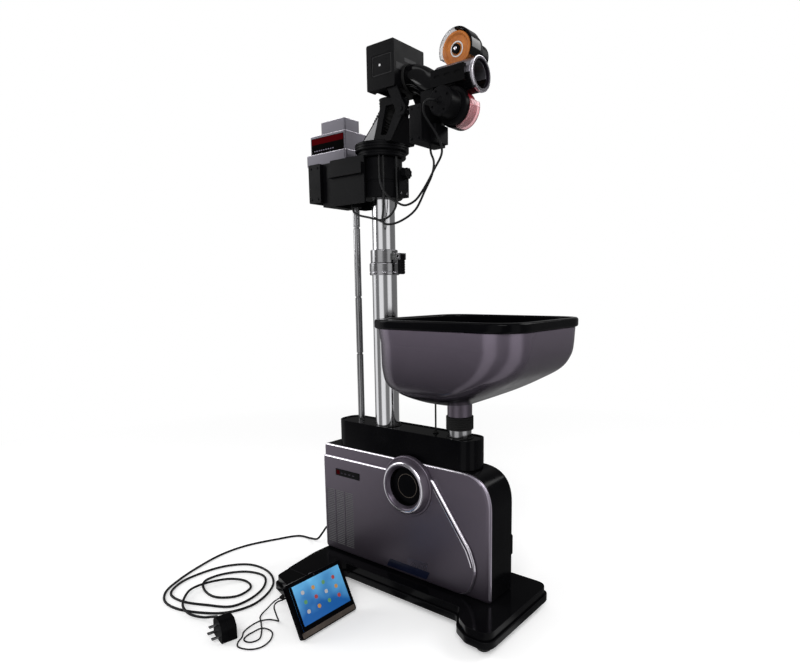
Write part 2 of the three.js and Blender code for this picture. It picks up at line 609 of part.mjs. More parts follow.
// U-shaped ball track, the pocketed wheel that drives the balls, its gear, pinion and motor
function buildFeed() {
  const ring = hopper.x / 2;
  const bore = ball / 2 + feed.play / 2;
  const track = onPath(new FeedBend(), bore + feed.skin, 10, 13, bore);
  const tip = ring + feed.wheelTip;
  const slot = barY(tip + feed.slotPlay, -feed.wheelHalf - feed.slotPlay, feed.wheelHalf + feed.slotPlay,
    ring, feed.z, 24);
  piece('ball_track', carve(track, slot), smoke);

  const pockets = [];
  for (let i = 0; i < feed.pockets; i += 1) {
    const angle = (i / feed.pockets) * 2 * Math.PI;
    const x = ring + ring * Math.cos(angle);
    const z = feed.z + ring * Math.sin(angle);
    pockets.push(barY(ball / 2 + feed.pocketPlay, -feed.wheelHalf - overrun, feed.wheelHalf + overrun, x,
      z, 8));
  }
  const disc = barY(tip, -feed.wheelHalf, feed.wheelHalf, ring, feed.z, 24);
  const hub = barY(feed.hub, -feed.wheelHalf - overrun, feed.gearFront - seat, ring, feed.z, 24);
  const bore0 = barY(feed.axle + seat, -body.half, body.half, ring, feed.z, 16);
  piece('feed_wheel', carve(fuse(disc, hub), ...pockets, bore0), ivory);

  const back = feed.gearFront + feed.gearWidth;
  const reach = gear.module * (gear.teeth + gear.pinionTeeth) / 2;
  const wheelGear = slab('y', gearOutline(gear.teeth, Math.PI / 2), feed.gearFront, back);
  piece('feed_gear', carve(wheelGear.translate(ring, 0, feed.z), bore0), ivory);
  const half = Math.PI / gear.pinionTeeth;
  const pinion = slab('y', gearOutline(gear.pinionTeeth, -Math.PI / 2 - half), feed.gearFront, back);
  const pinionZ = feed.z + reach;
  const shaftHole = barY(feedMotor.shaft + seat, 0, body.half, ring, pinionZ, 12);
  piece('feed_pinion', carve(pinion.translate(ring, 0, pinionZ), shaftHole), chrome);

  const rear = body.half - body.rearWall - seat;
  piece('feed_motor', turnedY([
    [0, feed.gearFront], [feedMotor.shaft, feed.gearFront], [feedMotor.shaft, rear - feedMotor.depth],
    [feedMotor.radius, rear - feedMotor.depth], [feedMotor.radius, rear], [0, rear],
  ], ring, pinionZ, 28), silver);
}

// Power supply, circuit board and cable gland
function buildElectrics() {
  const floor = base.coverTop + seat + body.wall + seat;
  const s = supply;
  const caseOutline = rounded([[s.left, s.front], [s.right, s.front], [s.right, s.back], [s.left, s.back]],
    s.corner);
  piece('power_supply', slab('z', caseOutline, floor, floor + s.height), silver);

  const p = board;
  const rear = body.half - body.rearWall - seat;
  const plate = block(p.left, p.right, rear - p.standoff - p.thick, rear - p.standoff, p.bottom, p.top);
  const posts = [p.left + p.margin, p.right - p.margin].flatMap((x) => (
    [p.bottom + p.margin, p.top - p.margin].map((z) => barY(p.post, rear - p.standoff - p.thick / 2, rear,
    x, z, 10))));
  piece('circuit_board', fuse(plate, ...posts), green);

  const g = gland;
  const tail = g.length / g.tail;
  piece('cord_relief', turned([
    [0, -body.wall - seat], [g.root, -body.wall - seat], [g.root, seat], [g.flange, seat],
    [g.flange, tail / 2], [g.root, tail / 2], [g.root - seat, tail], [g.tip, g.length], [0, g.length],
  ], 14).rotateZ(Math.PI / 2).translate(body.left, g.y, g.z), rubber);
}

// Lower pole, clamp collar with its lever, upper pole and side rod
function buildMast() {
  const m = mast;
  const foot = feed.z + feed.rise + seat;
  piece('lower_pole', turnedZ([
    [m.lowerBore, foot], [m.lower, foot], [m.lower, m.lowerTop], [m.lowerBore, m.lowerTop],
    [m.lowerBore, foot],
  ], 0, 0, 24), chrome);
  piece('upper_pole', turnedZ([
    [m.upperBore, m.upperFoot], [m.upper, m.upperFoot], [m.upper, m.upperTop], [m.upperBore, m.upperTop],
    [m.upperBore, m.upperFoot],
  ], 0, 0, 24), chrome);

  const c = clamp;
  const collar = turnedZ([
    [m.lower + seat, c.bottom], [c.wide, c.bottom], [c.wide, c.step], [c.narrow, c.step + seat],
    [c.narrow, c.top],
    [m.upper + seat, c.top], [m.upper + seat, m.lowerTop + seat], [m.lower + seat, m.lowerTop + seat],
    [m.lower + seat, c.bottom],
  ], 0, 0, 24);
  const ears = block(m.lower + overrun / 2, c.earX, -c.ear, c.ear, c.earBottom, c.earTop);
  const room = block(c.narrow + overrun, c.earX + overrun, -c.lever - slip, c.lever + slip,
    c.earBottom - overrun, c.earTop + overrun);
  const pinZ = (c.earBottom + c.earTop) / 2;
  const eye = barY(c.pin + seat, -c.ear - overrun, c.ear + overrun, c.pivotX, pinZ, 12);
  piece('clamp_collar', carve(fuse(collar, carve(ears, room)), eye,
    post(m.lower + seat, c.bottom, m.lowerTop)), chrome);

  const lever = slab('y', rounded([
    [c.leverIn, c.leverFoot], [c.leverOut, c.leverFoot], [c.leverOut, c.earTop], [c.leverIn, c.earTop],
  ], c.pin * 2), -c.lever, c.lever, c.pin / 4);
  const leverPin = barY(c.pin, -c.ear, c.ear, c.pivotX, pinZ, 12);
  piece('clamp_lever', fuse(lever, leverPin), silver);

  const r = rod;
  const profile = [[0, r.foot], [r.radius - r.notch, r.foot], [r.radius, r.foot + r.notch]];
  r.notches.forEach((z) => {
    profile.push([r.radius, z - r.notchLength / 2],
      [r.radius - r.notch, z - r.notchLength / 2 + r.notch / 2]);
    profile.push([r.radius - r.notch, z + r.notchLength / 2 - r.notch / 2],
      [r.radius, z + r.notchLength / 2]);
  });
  profile.push([r.radius, r.top], [0, r.top]);
  piece('side_rod', turnedZ(profile, r.x, 0, 12), chrome);
}

// One level of the bowl as a rounded rectangle; shares run from the neck circle to the brim
const bowlLevels = [
  // height share, left share, right share, half-depth share
  [1, 1, 1, 1],
  [0.82, 0.95, 0.993, 0.988],
  [0.66, 0.938, 0.964, 0.995],
  [0.48, 0.917, 0.848, 0.994],
  [0.31, 0.84, 0.592, 0.96],
  [0.19, 0.646, 0.387, 0.809],
  [0.1, 0.433, 0.209, 0.556],
  [0.035, 0.218, 0.073, 0.28],
  [0, 0, 0, 0],
];

function bowlRing(level, inset) {
  const h = hopper;
  const [heightShare, leftShare, rightShare, halfShare] = level;
  const floor = h.collarTop + h.neck;
  const z = floor + (h.brim - floor) * heightShare - (heightShare === 1 ? seat : 0);
  const radius = h.neck - inset;
  const left = h.x - radius - (h.x - h.left - h.neck) * leftShare;
  const right = h.x + radius + (h.right - h.x - h.neck) * rightShare;
  const half = radius + (h.half - h.neck) * halfShare;
  const corner = Math.min(radius + (h.corner - h.neck) * halfShare, half, (right - left) / 2);
  const ring = [];
  const centres = [[right - corner, half - corner], [left + corner, half - corner],
    [left + corner, corner - half], [right - corner, corner - half]];
  centres.forEach(([cx, cy], quarter) => {
    for (let i = 0; i <= h.steps; i += 1) {
      const angle = (quarter + i / h.steps) * Math.PI / 2;
      ring.push(new THREE.Vector3(cx + corner * Math.cos(angle), cy + corner * Math.sin(angle), z));
    }
  });
  return ring;
}

// Straight neck ring under the bowl
function neckRing(z, inset) {
  return bowlRing(bowlLevels[bowlLevels.length - 1], inset).map((p) => new THREE.Vector3(p.x, p.y, z));
}

function buildHopper() {
  const h = hopper;
  const neckFoot = h.tubeTop + seat;
  const outer = [...bowlLevels.map((level) => bowlRing(level, 0)), neckRing(neckFoot, 0)];
  const inner = [...bowlLevels.map((level) => bowlRing(level, h.wall)), neckRing(neckFoot, h.wall)];
  piece('hopper_bowl', loft([...outer, ...inner.reverse()]), purple);

  const rimOutline = (inset) => rounded([
    [rim.left + inset, -rim.half + inset], [rim.right - inset, -rim.half + inset],
    [rim.right - inset, rim.half - inset], [rim.left + inset, rim.half - inset],
  ], rim.corner - inset / 2, 4);
  const rimTop = h.brim + rim.height;
  const ringShape = slab('z', rimOutline(0), h.brim, rimTop, rim.bevel);
  const mouth = slab('z', rimOutline(rim.inner), h.brim - overrun, rimTop + overrun);
  piece('hopper_rim', carve(ringShape, mouth), gloss);

  const ribStep = (h.collarTop - h.collarFoot) / h.ribs;
  const profile = [[h.tube + seat, h.collarFoot]];
  for (let i = 0; i < h.ribs; i += 1) {
    const z = h.collarFoot + i * ribStep;
    profile.push([h.collar - h.rib, z], [h.collar, z + ribStep / 4], [h.collar, z + ribStep * 3 / 4]);
  }
  profile.push([h.collar - h.rib, h.collarTop], [h.neck + seat, h.collarTop], [h.neck + seat, h.tubeTop]);
  profile.push([h.tube + seat, h.tubeTop], [h.tube + seat, h.collarFoot]);
  piece('hopper_coupling', turnedZ(profile, h.x, 0, 24), rubber);

  const tubeFoot = feed.z + feed.rise + seat;
  piece('hopper_tube', turnedZ([
    [h.bore, tubeFoot], [h.tube, tubeFoot], [h.tube, h.tubeTop], [h.bore, h.tubeTop], [h.bore, tubeFoot],
  ], h.x, 0, 40), chrome);
}

// Mast head, knob, bracket housing and receiver box
function buildMastHead() {
  const h = head;
  const poleTop = mast.upperTop + seat;
  const drum = turnedZ([
    [mast.upper + seat, h.bottom], [h.radius - seat, h.bottom], [h.radius, h.bottom + slip],
    [h.radius, h.top],
    [mast.upperBore, h.top], [mast.upperBore, poleTop], [mast.upper + seat, poleTop],
    [mast.upper + seat, h.bottom],
  ], 0, 0, 24);
  const ear = block(h.radius - h.earDepth, h.radius + h.earDepth, h.earFront, h.earBack, h.bottom,
    h.earTop);
  const seatHole = barX(knob.stem + seat, h.radius, h.radius + h.earDepth + overrun, knob.y, knob.z, 16);
  piece('mast_head', carve(fuse(drum, ear), seatHole,
    post(mast.upper + seat, h.bottom - overrun, poleTop)), black);

  const knobFoot = h.radius + h.earDepth + seat;
  const outline = [];
  for (let i = 0; i < knob.lobes * 2; i += 1) {
    const angle = (i / (knob.lobes * 2)) * 2 * Math.PI;
    const r = knob.radius - (i % 2 === 0 ? knob.lobe : 0);
    outline.push(new THREE.Vector2(knob.y + r * Math.cos(angle), knob.z + r * Math.sin(angle)));
  }
  const grip = slab('x', outline, knobFoot, knobFoot + knob.length, knob.lobe / 2);
  piece('clamp_knob', fuse(grip, barX(knob.stem, h.radius + seat, knobFoot + knob.stem, knob.y, knob.z,
    16)), gloss);

  const k = bracket;
  const hollow = (x0, x1, half, z0) => block(x0, x1, -half + k.wall, half - k.wall, z0 - overrun,
    k.top - k.wall);
  const boxes = [
    slab('y', rounded([[k.left, k.endBottom], [k.endRight, k.endBottom], [k.endRight, k.top],
      [k.left, k.top]], k.bevel * 2),
      -k.half, k.half, k.bevel),
    block(k.endRight - overrun, k.midRight + overrun, -k.midHalf, k.midHalf, k.bottom + overrun, k.top),
    slab('y', rounded([[k.midRight, k.bottom], [k.right, k.bottom], [k.right, k.top], [k.midRight, k.top]],
      k.bevel * 2),
      -k.boxHalf, k.boxHalf, k.bevel),
    block(k.midRight, k.right - k.bevel, -k.boxHalf - k.strip, -k.boxHalf + overrun, k.stripBottom,
      k.stripTop),
  ];
  const sleeve = post(rod.radius + k.wall, k.bottom, k.top - k.wall + overrun / 2, rod.x, 0, 20);
  const shell = carve(fuse(...boxes),
    hollow(k.left + k.wall, k.endRight - k.wall, k.half, k.endBottom),
    hollow(k.midRight + k.wall, k.right + overrun, k.boxHalf, k.bottom));
  piece('bracket_housing', carve(fuse(shell, sleeve),
    post(rod.radius + seat, k.bottom - overrun, rod.top + seat, rod.x, 0, 20),
    post(h.radius + seat, k.bottom - overrun, k.top + overrun, 0, 0, 24),
    post(yoke.disc + slip, h.top - seat, k.top + overrun, 0, 0, 24)), black);

  const r = receiver;
  const foot = k.top + seat;
  const flange = slab('z', rounded([
    [r.flangeLeft, r.front - r.lip], [r.flangeRight, r.front - r.lip],
    [r.flangeRight, r.back + r.lip], [r.flangeLeft, r.back + r.lip],
  ], r.lip), foot, r.flangeTop, k.bevel);
  const lower = block(r.left, r.right, r.front, r.back, r.flangeTop - overrun, r.top);
  const upper = block(r.upperLeft, r.upperRight, r.upperFront, r.upperBack, r.top - overrun, r.upperTop);
  piece('receiver_box', fuse(flange, lower, upper), silver);
}

// Turntable with its two cheeks and stay rod, neck tube and pivot pin
function buildYoke() {
  const y = yoke;
  const foot = head.top + seat;
  const disc = turnedZ([
    [0, foot], [y.disc - slip, foot], [y.disc, foot + slip], [y.disc, y.discTop], [0, y.discTop],
  ], 0, 0, 24);
  const plate = post(y.plate, y.discTop - overrun, y.plateTop, 0, 0, 28);
  const webHead = tilt.z - y.corner;
  const web = slab('y', [
    new THREE.Vector2(y.footRight - y.web, y.plateTop - overrun),
    new THREE.Vector2(y.footRight, y.plateTop - overrun),
    new THREE.Vector2(tilt.x, webHead), new THREE.Vector2(tilt.x - y.web, webHead),
  ], -y.cheekIn - overrun, y.cheekIn + overrun);
  const solids = [disc, plate, web];
  [-1, 1].forEach((side) => {
    const [near, far] = side < 0 ? [-y.cheekOut, -y.cheekIn] : [y.cheekIn, y.cheekOut];
    const window = rounded([
      [y.windowLeft, y.windowFoot], [y.windowRight, y.windowFoot],
      [y.windowHeadRight, y.windowTop - y.corner], [y.windowHeadRight, y.windowTop],
      [y.windowHeadLeft, y.windowTop],
    ], overrun).reverse();
    solids.push(slab('y', rounded([
      [y.footLeft, y.plateTop - overrun, 0], [y.footRight, y.plateTop - overrun, 0],
      [y.topRight, y.topRightZ, y.corner], [y.topLeft, y.topLeftZ, y.corner / 2],
    ]), near, far, 0, [window]));
  });
  const run = new THREE.LineCurve3(
    new THREE.Vector3(y.stayFootX, -y.cheekIn, y.plateTop - overrun),
    new THREE.Vector3(y.stayTopX + y.corner / 2, -y.cheekIn, y.stayTopZ - y.corner / 2));
  solids.push(onPath(run, y.stay, 8, 1));
  const pinReach = y.cheekOut + seat + tilt.earWidth + overrun / 2;
  solids.push(barY(tilt.pin, -pinReach, pinReach, tilt.x, tilt.z, 14));
  const pathHole = post(neck.bore, foot - overrun, y.plateTop + overrun, 0, 0, 20);
  piece('head_yoke', carve(fuse(...solids), pathHole), black);

  const rise = new THREE.CatmullRomCurve3([
    new THREE.Vector3(0, 0, y.plateTop + seat), new THREE.Vector3(0, 0, y.plateTop + neck.radius),
    new THREE.Vector3(neck.topX / 2, 0, (y.plateTop + neck.top) / 2),
    new THREE.Vector3(neck.topX, 0, neck.top - neck.radius),
    new THREE.Vector3(neck.topX, 0, neck.top),
  ]);
  piece('neck_tube', onPath(rise, neck.radius, 14, 6, neck.bore), rubber);
}

function elbowPath() {
  const start = box.right + seat;
  const middle = (start + barrel.left) / 2;
  return new THREE.CubicBezierCurve3(
    new THREE.Vector3(start, 0, elbow.startZ), new THREE.Vector3(middle, 0, elbow.startZ),
    new THREE.Vector3(middle, 0, barrel.z), new THREE.Vector3(barrel.left - seat, 0, barrel.z));
}

// Head box with its two ears, elbow, barrel, muzzle ring, side rail and hanging box
function buildTiltHead() {
  const b = box;
  const ears = [-1, 1].map((side) => {
    const inner = yoke.cheekOut + seat;
    const [near, far] = side < 0 ? [-inner - tilt.earWidth, -inner] : [inner, inner + tilt.earWidth];
    const web = slab('y', [
      new THREE.Vector2(tilt.earRootLeft, b.bottom + b.wall), new THREE.Vector2(tilt.x - tilt.boss, tilt.z),
      new THREE.Vector2(tilt.x + tilt.boss, tilt.z),
      new THREE.Vector2(tilt.earRootRight, b.bottom + b.wall),
    ], near, far);
    return fuse(web, barY(tilt.boss, near, far, tilt.x, tilt.z, 16));
  });
  const top = b.bottom + b.height;
  const outside = slab('y', rounded([
    [b.left, b.bottom], [b.right, b.bottom], [b.right, top], [b.left, top],
  ], b.bevel * 2), -b.half, b.half, b.bevel);
  const inside = block(b.left + b.wall, b.right - b.wall, -b.half + b.wall, b.half - b.wall,
    b.bottom + b.wall, top - b.wall);
  const panel = block(b.panelLeft, b.panelRight, -b.half - overrun, -b.half + b.panel,
    b.bottom + b.panelFoot, top - b.panelHead);
  const inlet = post(neck.radius + neck.play, b.bottom - overrun, b.bottom + b.wall + overrun, neck.topX,
    0, 20);
  const exit = barX(elbow.bore, b.right - b.wall - overrun, b.right + overrun, 0, elbow.startZ, 16);
  const pinHole = barY(tilt.pin + seat, -b.half, b.half, tilt.x, tilt.z, 14);
  piece('head_box', carve(fuse(carve(outside, inside), ...ears), panel, inlet, exit, pinHole), black);

  const r = barrel;
  piece('feed_elbow', onPath(elbowPath(), elbow.radius, 16, 8, elbow.bore), gloss);

  const upperZ = r.z + wheel.nip / 2 + wheel.radius;
  const lowerZ = r.z - wheel.nip / 2 - wheel.radius;
  const tube = turnedX([
    [r.bore, r.left], [r.radius, r.left], [r.radius, r.right], [r.bore, r.right], [r.bore, r.left],
  ], 0, r.z, 28);
  const room = (z) => barY(wheel.radius + wheel.play, -wheel.half - wheel.play, wheel.half + wheel.play,
    wheel.x, z, 40);
  piece('ball_tube', carve(tube, room(upperZ), room(lowerZ)), silver);
  piece('muzzle_ring', turnedX([
    [r.bore, r.right + seat], [r.muzzleRing - seat, r.right + seat], [r.muzzleRing, r.right + 2 * slip],
    [r.muzzleRing, r.muzzle - 2 * slip], [r.muzzleRing - 2 * slip, r.muzzle], [r.bore + slip, r.muzzle],
    [r.bore, r.muzzle - slip], [r.bore, r.right + seat],
  ], 0, r.z, 28), chrome);
  piece('side_rail', block(rail.left, rail.right, -r.radius - seat - rail.width, -r.radius - seat,
    rail.bottom, rail.top), black);

  const h = hanger;
  const hang = block(h.left, h.right, h.front, h.back, h.bottom, h.top);
  const stem = block(h.left, h.right, h.neckFront, h.back, h.top - overrun, h.neckTop);
  const step = block(h.right - overrun, h.right + h.step, h.stepFront, h.stepBack, h.bottom + overrun,
    h.stepTop);
  const gapTube = onPath(elbowPath(), elbow.radius + seat, 16, 8);
  const gapBarrel = barX(r.radius + seat, r.left - overrun, r.right, 0, r.z, 28);
  piece('motor_box', carve(fuse(hang, stem, step), gapTube, gapBarrel), black);

  buildDrive('upper', upperZ, 1, guard.startUpper, guard.endUpper, amber, smoke);
  buildDrive('lower', lowerZ, -1, guard.startLower, guard.endLower, red, smoke);
}

// Shooting wheel with its motor and guard; side says where the motor stands
function buildDrive(name, z, side, start, end, wheelLook, guardLook) {
  const w = wheel;
  const mirror = (list) => (side > 0 ? list : list.map(([r, y]) => [r, -y]));
  const face = w.half;
  piece(`${name}_wheel`, turnedY(mirror([
    [w.shaft + seat, -face - w.hubProud], [w.hub, -face - w.hubProud], [w.hub, -face + w.dish],
    [w.radius - w.dishRim, -face + w.dish], [w.radius - w.dishRim + w.dish, -face],
    [w.radius - w.dish / 2, -face],
    [w.radius, -face + w.dish / 2], [w.radius, face - w.dish / 2], [w.radius - w.dish / 2, face],
    [w.shaft + seat, face], [w.shaft + seat, -face - w.hubProud],
  ]), w.x, z, 24), wheelLook);

  const m = motor;
  const plateIn = guard.half - seat;
  const plateOut = plateIn + guard.plate;
  const shroudIn = plateOut + seat;
  const canIn = shroudIn + m.shroudDepth;
  const canOut = canIn + m.length;
  const shaft = [[0, -face], [w.shaft, -face], [w.shaft, shroudIn], [m.shroud - slip, shroudIn]];
  const can = [[m.shroud, shroudIn + slip], [m.shroud, canIn - slip], [m.shroud - slip, canIn],
    [m.can, canIn],
    [m.can, canOut - m.edge], [m.can - m.edge, canOut], [0, canOut]];
  const tubeGap = barX(barrel.radius + seat, barrel.left - overrun, barrel.right + overrun * 2, 0,
    barrel.z, 28);
  const drive = turnedY(mirror([...shaft, ...can]), w.x, z, 20);
  const besideTube = side > 0 ? [shroudIn - seat, canOut + overrun] : [-canOut - overrun, seat - shroudIn];
  piece(`${name}_motor`, carve(drive, common(tubeGap, block(barrel.left, barrel.right, ...besideTube,
    barrel.z - barrel.radius - overrun, barrel.z + barrel.radius + overrun))), black);

  const g = guard;
  const arc = (radius, from, to) => Array.from({ length: g.steps + 1 }, (unused, i) => {
    const angle = THREE.MathUtils.degToRad(from + (i / g.steps) * (to - from));
    return new THREE.Vector2(w.x + radius * Math.cos(angle), z + radius * Math.sin(angle));
  });
  const { bore, radius } = g;
  const band = slab('y', [...arc(radius, start, end), ...arc(bore, end, start)], -g.half, g.half);
  const [near, far] = side > 0 ? [plateIn, plateOut] : [-plateOut, -plateIn];
  const plate = slab('y', arc(radius, start, end), near, far);
  const shaftHole = barY(w.shaft + slip, -plateOut - overrun, plateOut + overrun, w.x, z, 16);
  const ringGap = barX(barrel.muzzleRing + seat, barrel.right, barrel.muzzle + seat, 0, barrel.z, 28);
  const railGap = block(rail.left - seat, rail.right + seat, -barrel.radius - 2 * seat - rail.width,
    -barrel.radius + overrun, rail.bottom - seat, rail.top + seat);
  piece(`${name}_guard`, carve(fuse(band, plate), shaftHole, tubeGap, ringGap, railGap), guardLook);
}

// Tablet leaning on its own stand
function buildTablet() {
  const t = tablet;
  const lean = THREE.MathUtils.degToRad(t.lean);
  const place = (geometry) => geometry.rotateY(-lean).translate(t.x, 0, t.thick * Math.sin(lean) + t.foot);
  const back = -t.thick;
  const shell = slab('x', rounded([[t.near, 0], [t.far, 0], [t.far, t.height], [t.near, t.height]],
    t.corner), back, 0, t.foot);
  const glassCut = block(-t.glass, overrun, t.near + t.bezel, t.far - t.bezel, t.strip, t.height - t.bezel);
  const hingeX = back - t.hinge - seat;
  const hingeZ = t.height * t.hingeShare;
  const middle = (t.near + t.far) / 2;
  const knuckle = [-1, 1].map((side) => {
    const y = middle + side * (t.standHalf + t.hinge + seat);
    const web = block(hingeX, back + t.glass, y - t.hinge, y + t.hinge, hingeZ - t.hinge, hingeZ + t.hinge);
    return fuse(barY(t.hinge, y - t.hinge, y + t.hinge, hingeX, hingeZ, 12), web);
  });
  piece('tablet_body', place(fuse(carve(shell, glassCut), ...knuckle)), black);
  piece('tablet_screen', place(block(-t.glass + seat, 0, t.near + t.bezel + seat, t.far - t.bezel - seat,
    t.strip + seat, t.height - t.bezel - seat)), blue);

  // The stand hangs from its hinge and its foot rests on the floor
  const hinge = new THREE.Vector3(hingeX, 0, hingeZ).applyAxisAngle(axisY, -lean);
  hinge.x += t.x;
  hinge.z += t.thick * Math.sin(lean) + t.foot;
  const drop = Math.asin((hinge.z - t.foot - t.standThick / 2) / t.standLength);
  const leg = slab('z', rounded([
    [-t.standLength, middle - t.standHalf], [t.standThick / 2, middle - t.standHalf],
    [t.standThick / 2, middle + t.standHalf], [-t.standLength, middle + t.standHalf],
  ], t.hinge), -t.standThick / 2, t.standThick / 2, t.foot / 2);
  piece('tablet_stand', leg.rotateY(-drop).translate(hinge.x, 0, hinge.z), black);
}

// Power cord with its plug, and the tablet's lead
function buildCords() {
  piece('power_cord', onPath(spline(powerRoute), power.radius, power.sides, power.steps), rubber);
  piece('tablet_lead', onPath(spline(leadRoute), lead.radius, lead.sides, lead.steps), rubber);

  const p = plug;
  const outline = rounded([
    [-p.width / 2, -p.height / 2], [p.width / 2, -p.height / 2],
    [p.width / 2, p.height / 2 - p.corner, p.corner],
    [p.width / 4, p.height / 2, p.corner], [-p.width / 4, p.height / 2, p.corner],
    [-p.width / 2, p.height / 2 - p.corner],
  ], p.corner / 2);
  const shell = slab('y', outline, -p.depth / 2, p.depth / 2, p.pin);
  const pin = (x, z) => block(x - p.pin, x + p.pin, -p.depth / 2 - p.pinLong, -p.depth / 2 + overrun,
    z - p.pin / 2, z + p.pin / 2);
  const boss = barX(p.boss, -p.width / 2 - p.bossLength, -p.width / 2 + overrun * 2, 0, 0, 16);
  const whole = fuse(shell, pin(-p.pinGap / 2, -p.pinRise), pin(p.pinGap / 2, -p.pinRise),
    pin(0, p.pinRise), boss);
  const turn = THREE.MathUtils.degToRad(p.turn);
  piece('power_plug', whole.rotateZ(turn).translate(p.x, p.y, p.z), gloss);
}

function buildCables() {
  Object.entries(cableRoutes).forEach(([name, route]) => {
    const path = spline(route);
    const steps = Math.round(path.getLength() / cable.step);
    piece(name, onPath(path, cable.radius, cable.sides, steps), rubber);
  });
}

buildBase();
buildOutlet();
buildBody();
buildFrontCover();
buildPort();
buildCap();
buildFeed();
buildElectrics();
buildMast();
buildHopper();
buildMastHead();
buildYoke();
buildTiltHead();
buildTablet();
buildCords();
buildCables();

export default robot;
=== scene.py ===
"""Table tennis robot: the looks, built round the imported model."""
import math
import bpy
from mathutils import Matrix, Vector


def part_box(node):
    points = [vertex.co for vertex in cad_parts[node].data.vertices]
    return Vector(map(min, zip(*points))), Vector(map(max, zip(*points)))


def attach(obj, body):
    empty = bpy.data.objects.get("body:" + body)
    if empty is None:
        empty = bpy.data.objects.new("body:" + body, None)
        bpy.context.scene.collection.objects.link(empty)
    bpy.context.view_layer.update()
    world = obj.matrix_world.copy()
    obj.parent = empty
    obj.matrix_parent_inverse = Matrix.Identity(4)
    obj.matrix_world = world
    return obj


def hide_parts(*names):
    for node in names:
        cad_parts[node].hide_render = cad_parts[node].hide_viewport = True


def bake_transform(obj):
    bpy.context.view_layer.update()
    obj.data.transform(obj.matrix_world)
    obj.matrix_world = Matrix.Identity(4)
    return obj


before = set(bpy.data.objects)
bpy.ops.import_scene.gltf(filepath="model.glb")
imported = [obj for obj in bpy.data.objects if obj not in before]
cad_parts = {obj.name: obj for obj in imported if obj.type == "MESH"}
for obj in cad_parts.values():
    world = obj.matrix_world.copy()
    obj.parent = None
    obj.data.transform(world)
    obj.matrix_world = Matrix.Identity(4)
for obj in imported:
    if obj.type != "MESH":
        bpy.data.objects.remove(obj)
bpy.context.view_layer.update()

from types import SimpleNamespace as Sizes

import bmesh
import bpy
from mathutils import Matrix, Vector

MM = 0.001
low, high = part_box("lower_pole")
MAST = Vector(((low.x + high.x) / 2, (low.y + high.y) / 2, 0))
TAU = 2 * math.pi
SEAT = 0.3    # gap between pieces that touch
OVER = 3      # how far a cutting or joining solid passes a face
NICK = 0.6    # chamfer of a fine edge
ROUND = 96    # steps round a large circle
WELD = 1e-4   # points nearer than this are one


def at(x, y, z):
    """Millimetres from the foot of the mast to a point in the frame."""
    return Vector((x, y, z)) * MM + MAST


class Place:
    """A node's box in millimetres from the foot of the mast."""

    def __init__(self, node):
        near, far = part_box(node)
        self.x0, self.y0, self.z0 = (near - MAST) / MM
        self.x1, self.y1, self.z1 = (far - MAST) / MM
        self.x = (self.x0 + self.x1) / 2
        self.y = (self.y0 + self.y1) / 2
        self.z = (self.z0 + self.z1) / 2
        self.radius = self.x1 - self.x


# Camera
EYE = (835.33, -924.52, 634.88)
RIGHT = Vector((0.79095, 0.61181, -0.00928))
UP = Vector((-0.08071, 0.11935, 0.98957))
BACK = Vector((0.60654, -0.78195, 0.14377))
IMAGE = Sizes(width=800, height=666, focal=591.39, centre_u=430.63, centre_v=374.92)
SENSOR = 36.0


def make_camera():
    data = bpy.data.cameras.new("camera")
    data.sensor_width = SENSOR
    data.lens = IMAGE.focal / IMAGE.width * SENSOR
    data.shift_x = (IMAGE.width / 2 - IMAGE.centre_u) / IMAGE.width
    data.shift_y = (IMAGE.centre_v - IMAGE.height / 2) / IMAGE.width
    data.clip_start = 0.05
    data.clip_end = 30
    camera = bpy.data.objects.new("camera", data)
    turn = Matrix((RIGHT, UP, BACK)).transposed().to_4x4()
    camera.matrix_world = Matrix.Translation(at(*EYE)) @ turn
    bpy.context.collection.objects.link(camera)
    bpy.context.scene.camera = camera


# Materials
class Tree:
    """A node tree with short ways to add nodes and to feed them."""

    def __init__(self, owner):
        owner.use_nodes = True
        self.nodes, self.links = owner.node_tree.nodes, owner.node_tree.links

    def feed(self, node, inputs):
        """Each input takes a plain value or another node's output."""
        for name, value in inputs.items():
            if isinstance(value, bpy.types.NodeSocket):
                self.links.new(value, node.inputs[name])
            else:
                node.inputs[name].default_value = value

    def add(self, kind, inputs, output=0, **settings):
        """A new node, given as one of its outputs."""
        node = self.nodes.new(f"ShaderNode{kind}")
        for name, value in settings.items():
            setattr(node, name, value)
        self.feed(node, inputs)
        return node.outputs[output]

    def spot(self):
        return self.add("TexCoord", {}, "Object")

    def height(self, low_z, high_z):
        return self.spread(self.add("SeparateXYZ", {"Vector": self.spot()}, "Z"), 0.0, 1.0, low_z, high_z)

    def noise(self, scale, detail=3.0, stretch=(1, 1, 1)):
        """Noise in the piece's own coordinates, in features per metre."""
        spot = self.add("Mapping", {"Vector": self.spot(), "Scale": stretch})
        return self.add("TexNoise", {"Vector": spot, "Scale": scale, "Detail": detail}, "Fac")

    def spread(self, value, low_value, high_value, start=0.3, end=0.7):
        return self.add("MapRange", {"Value": value, "From Min": start, "From Max": end, "To Min": low_value,
                                     "To Max": high_value})

    def math(self, operation, first, second):
        return self.add("Math", {0: first, 1: second}, operation=operation)

    def ramp(self, value, stops):
        """Colours along a value, from (place, colour) stops."""
        colour = self.add("ValToRGB", {"Fac": value})
        elements = colour.node.color_ramp.elements
        for place, shade in stops[1:-1]:
            elements.new(place)
        for element, (place, shade) in zip(elements, stops):
            element.position = place
            element.color = (*shade, 1)
        return colour

    def shades(self, value, dark, light, start=0.3, end=0.7):
        return self.ramp(value, ((start, dark), (end, light)))

    def bump(self, value, depth):
        return self.add("Bump", {"Height": value, "Strength": 1.0, "Distance": depth})

    def mixed(self, share, first, second):
        return self.add("MixShader", {"Fac": share, 1: first, 2: second})


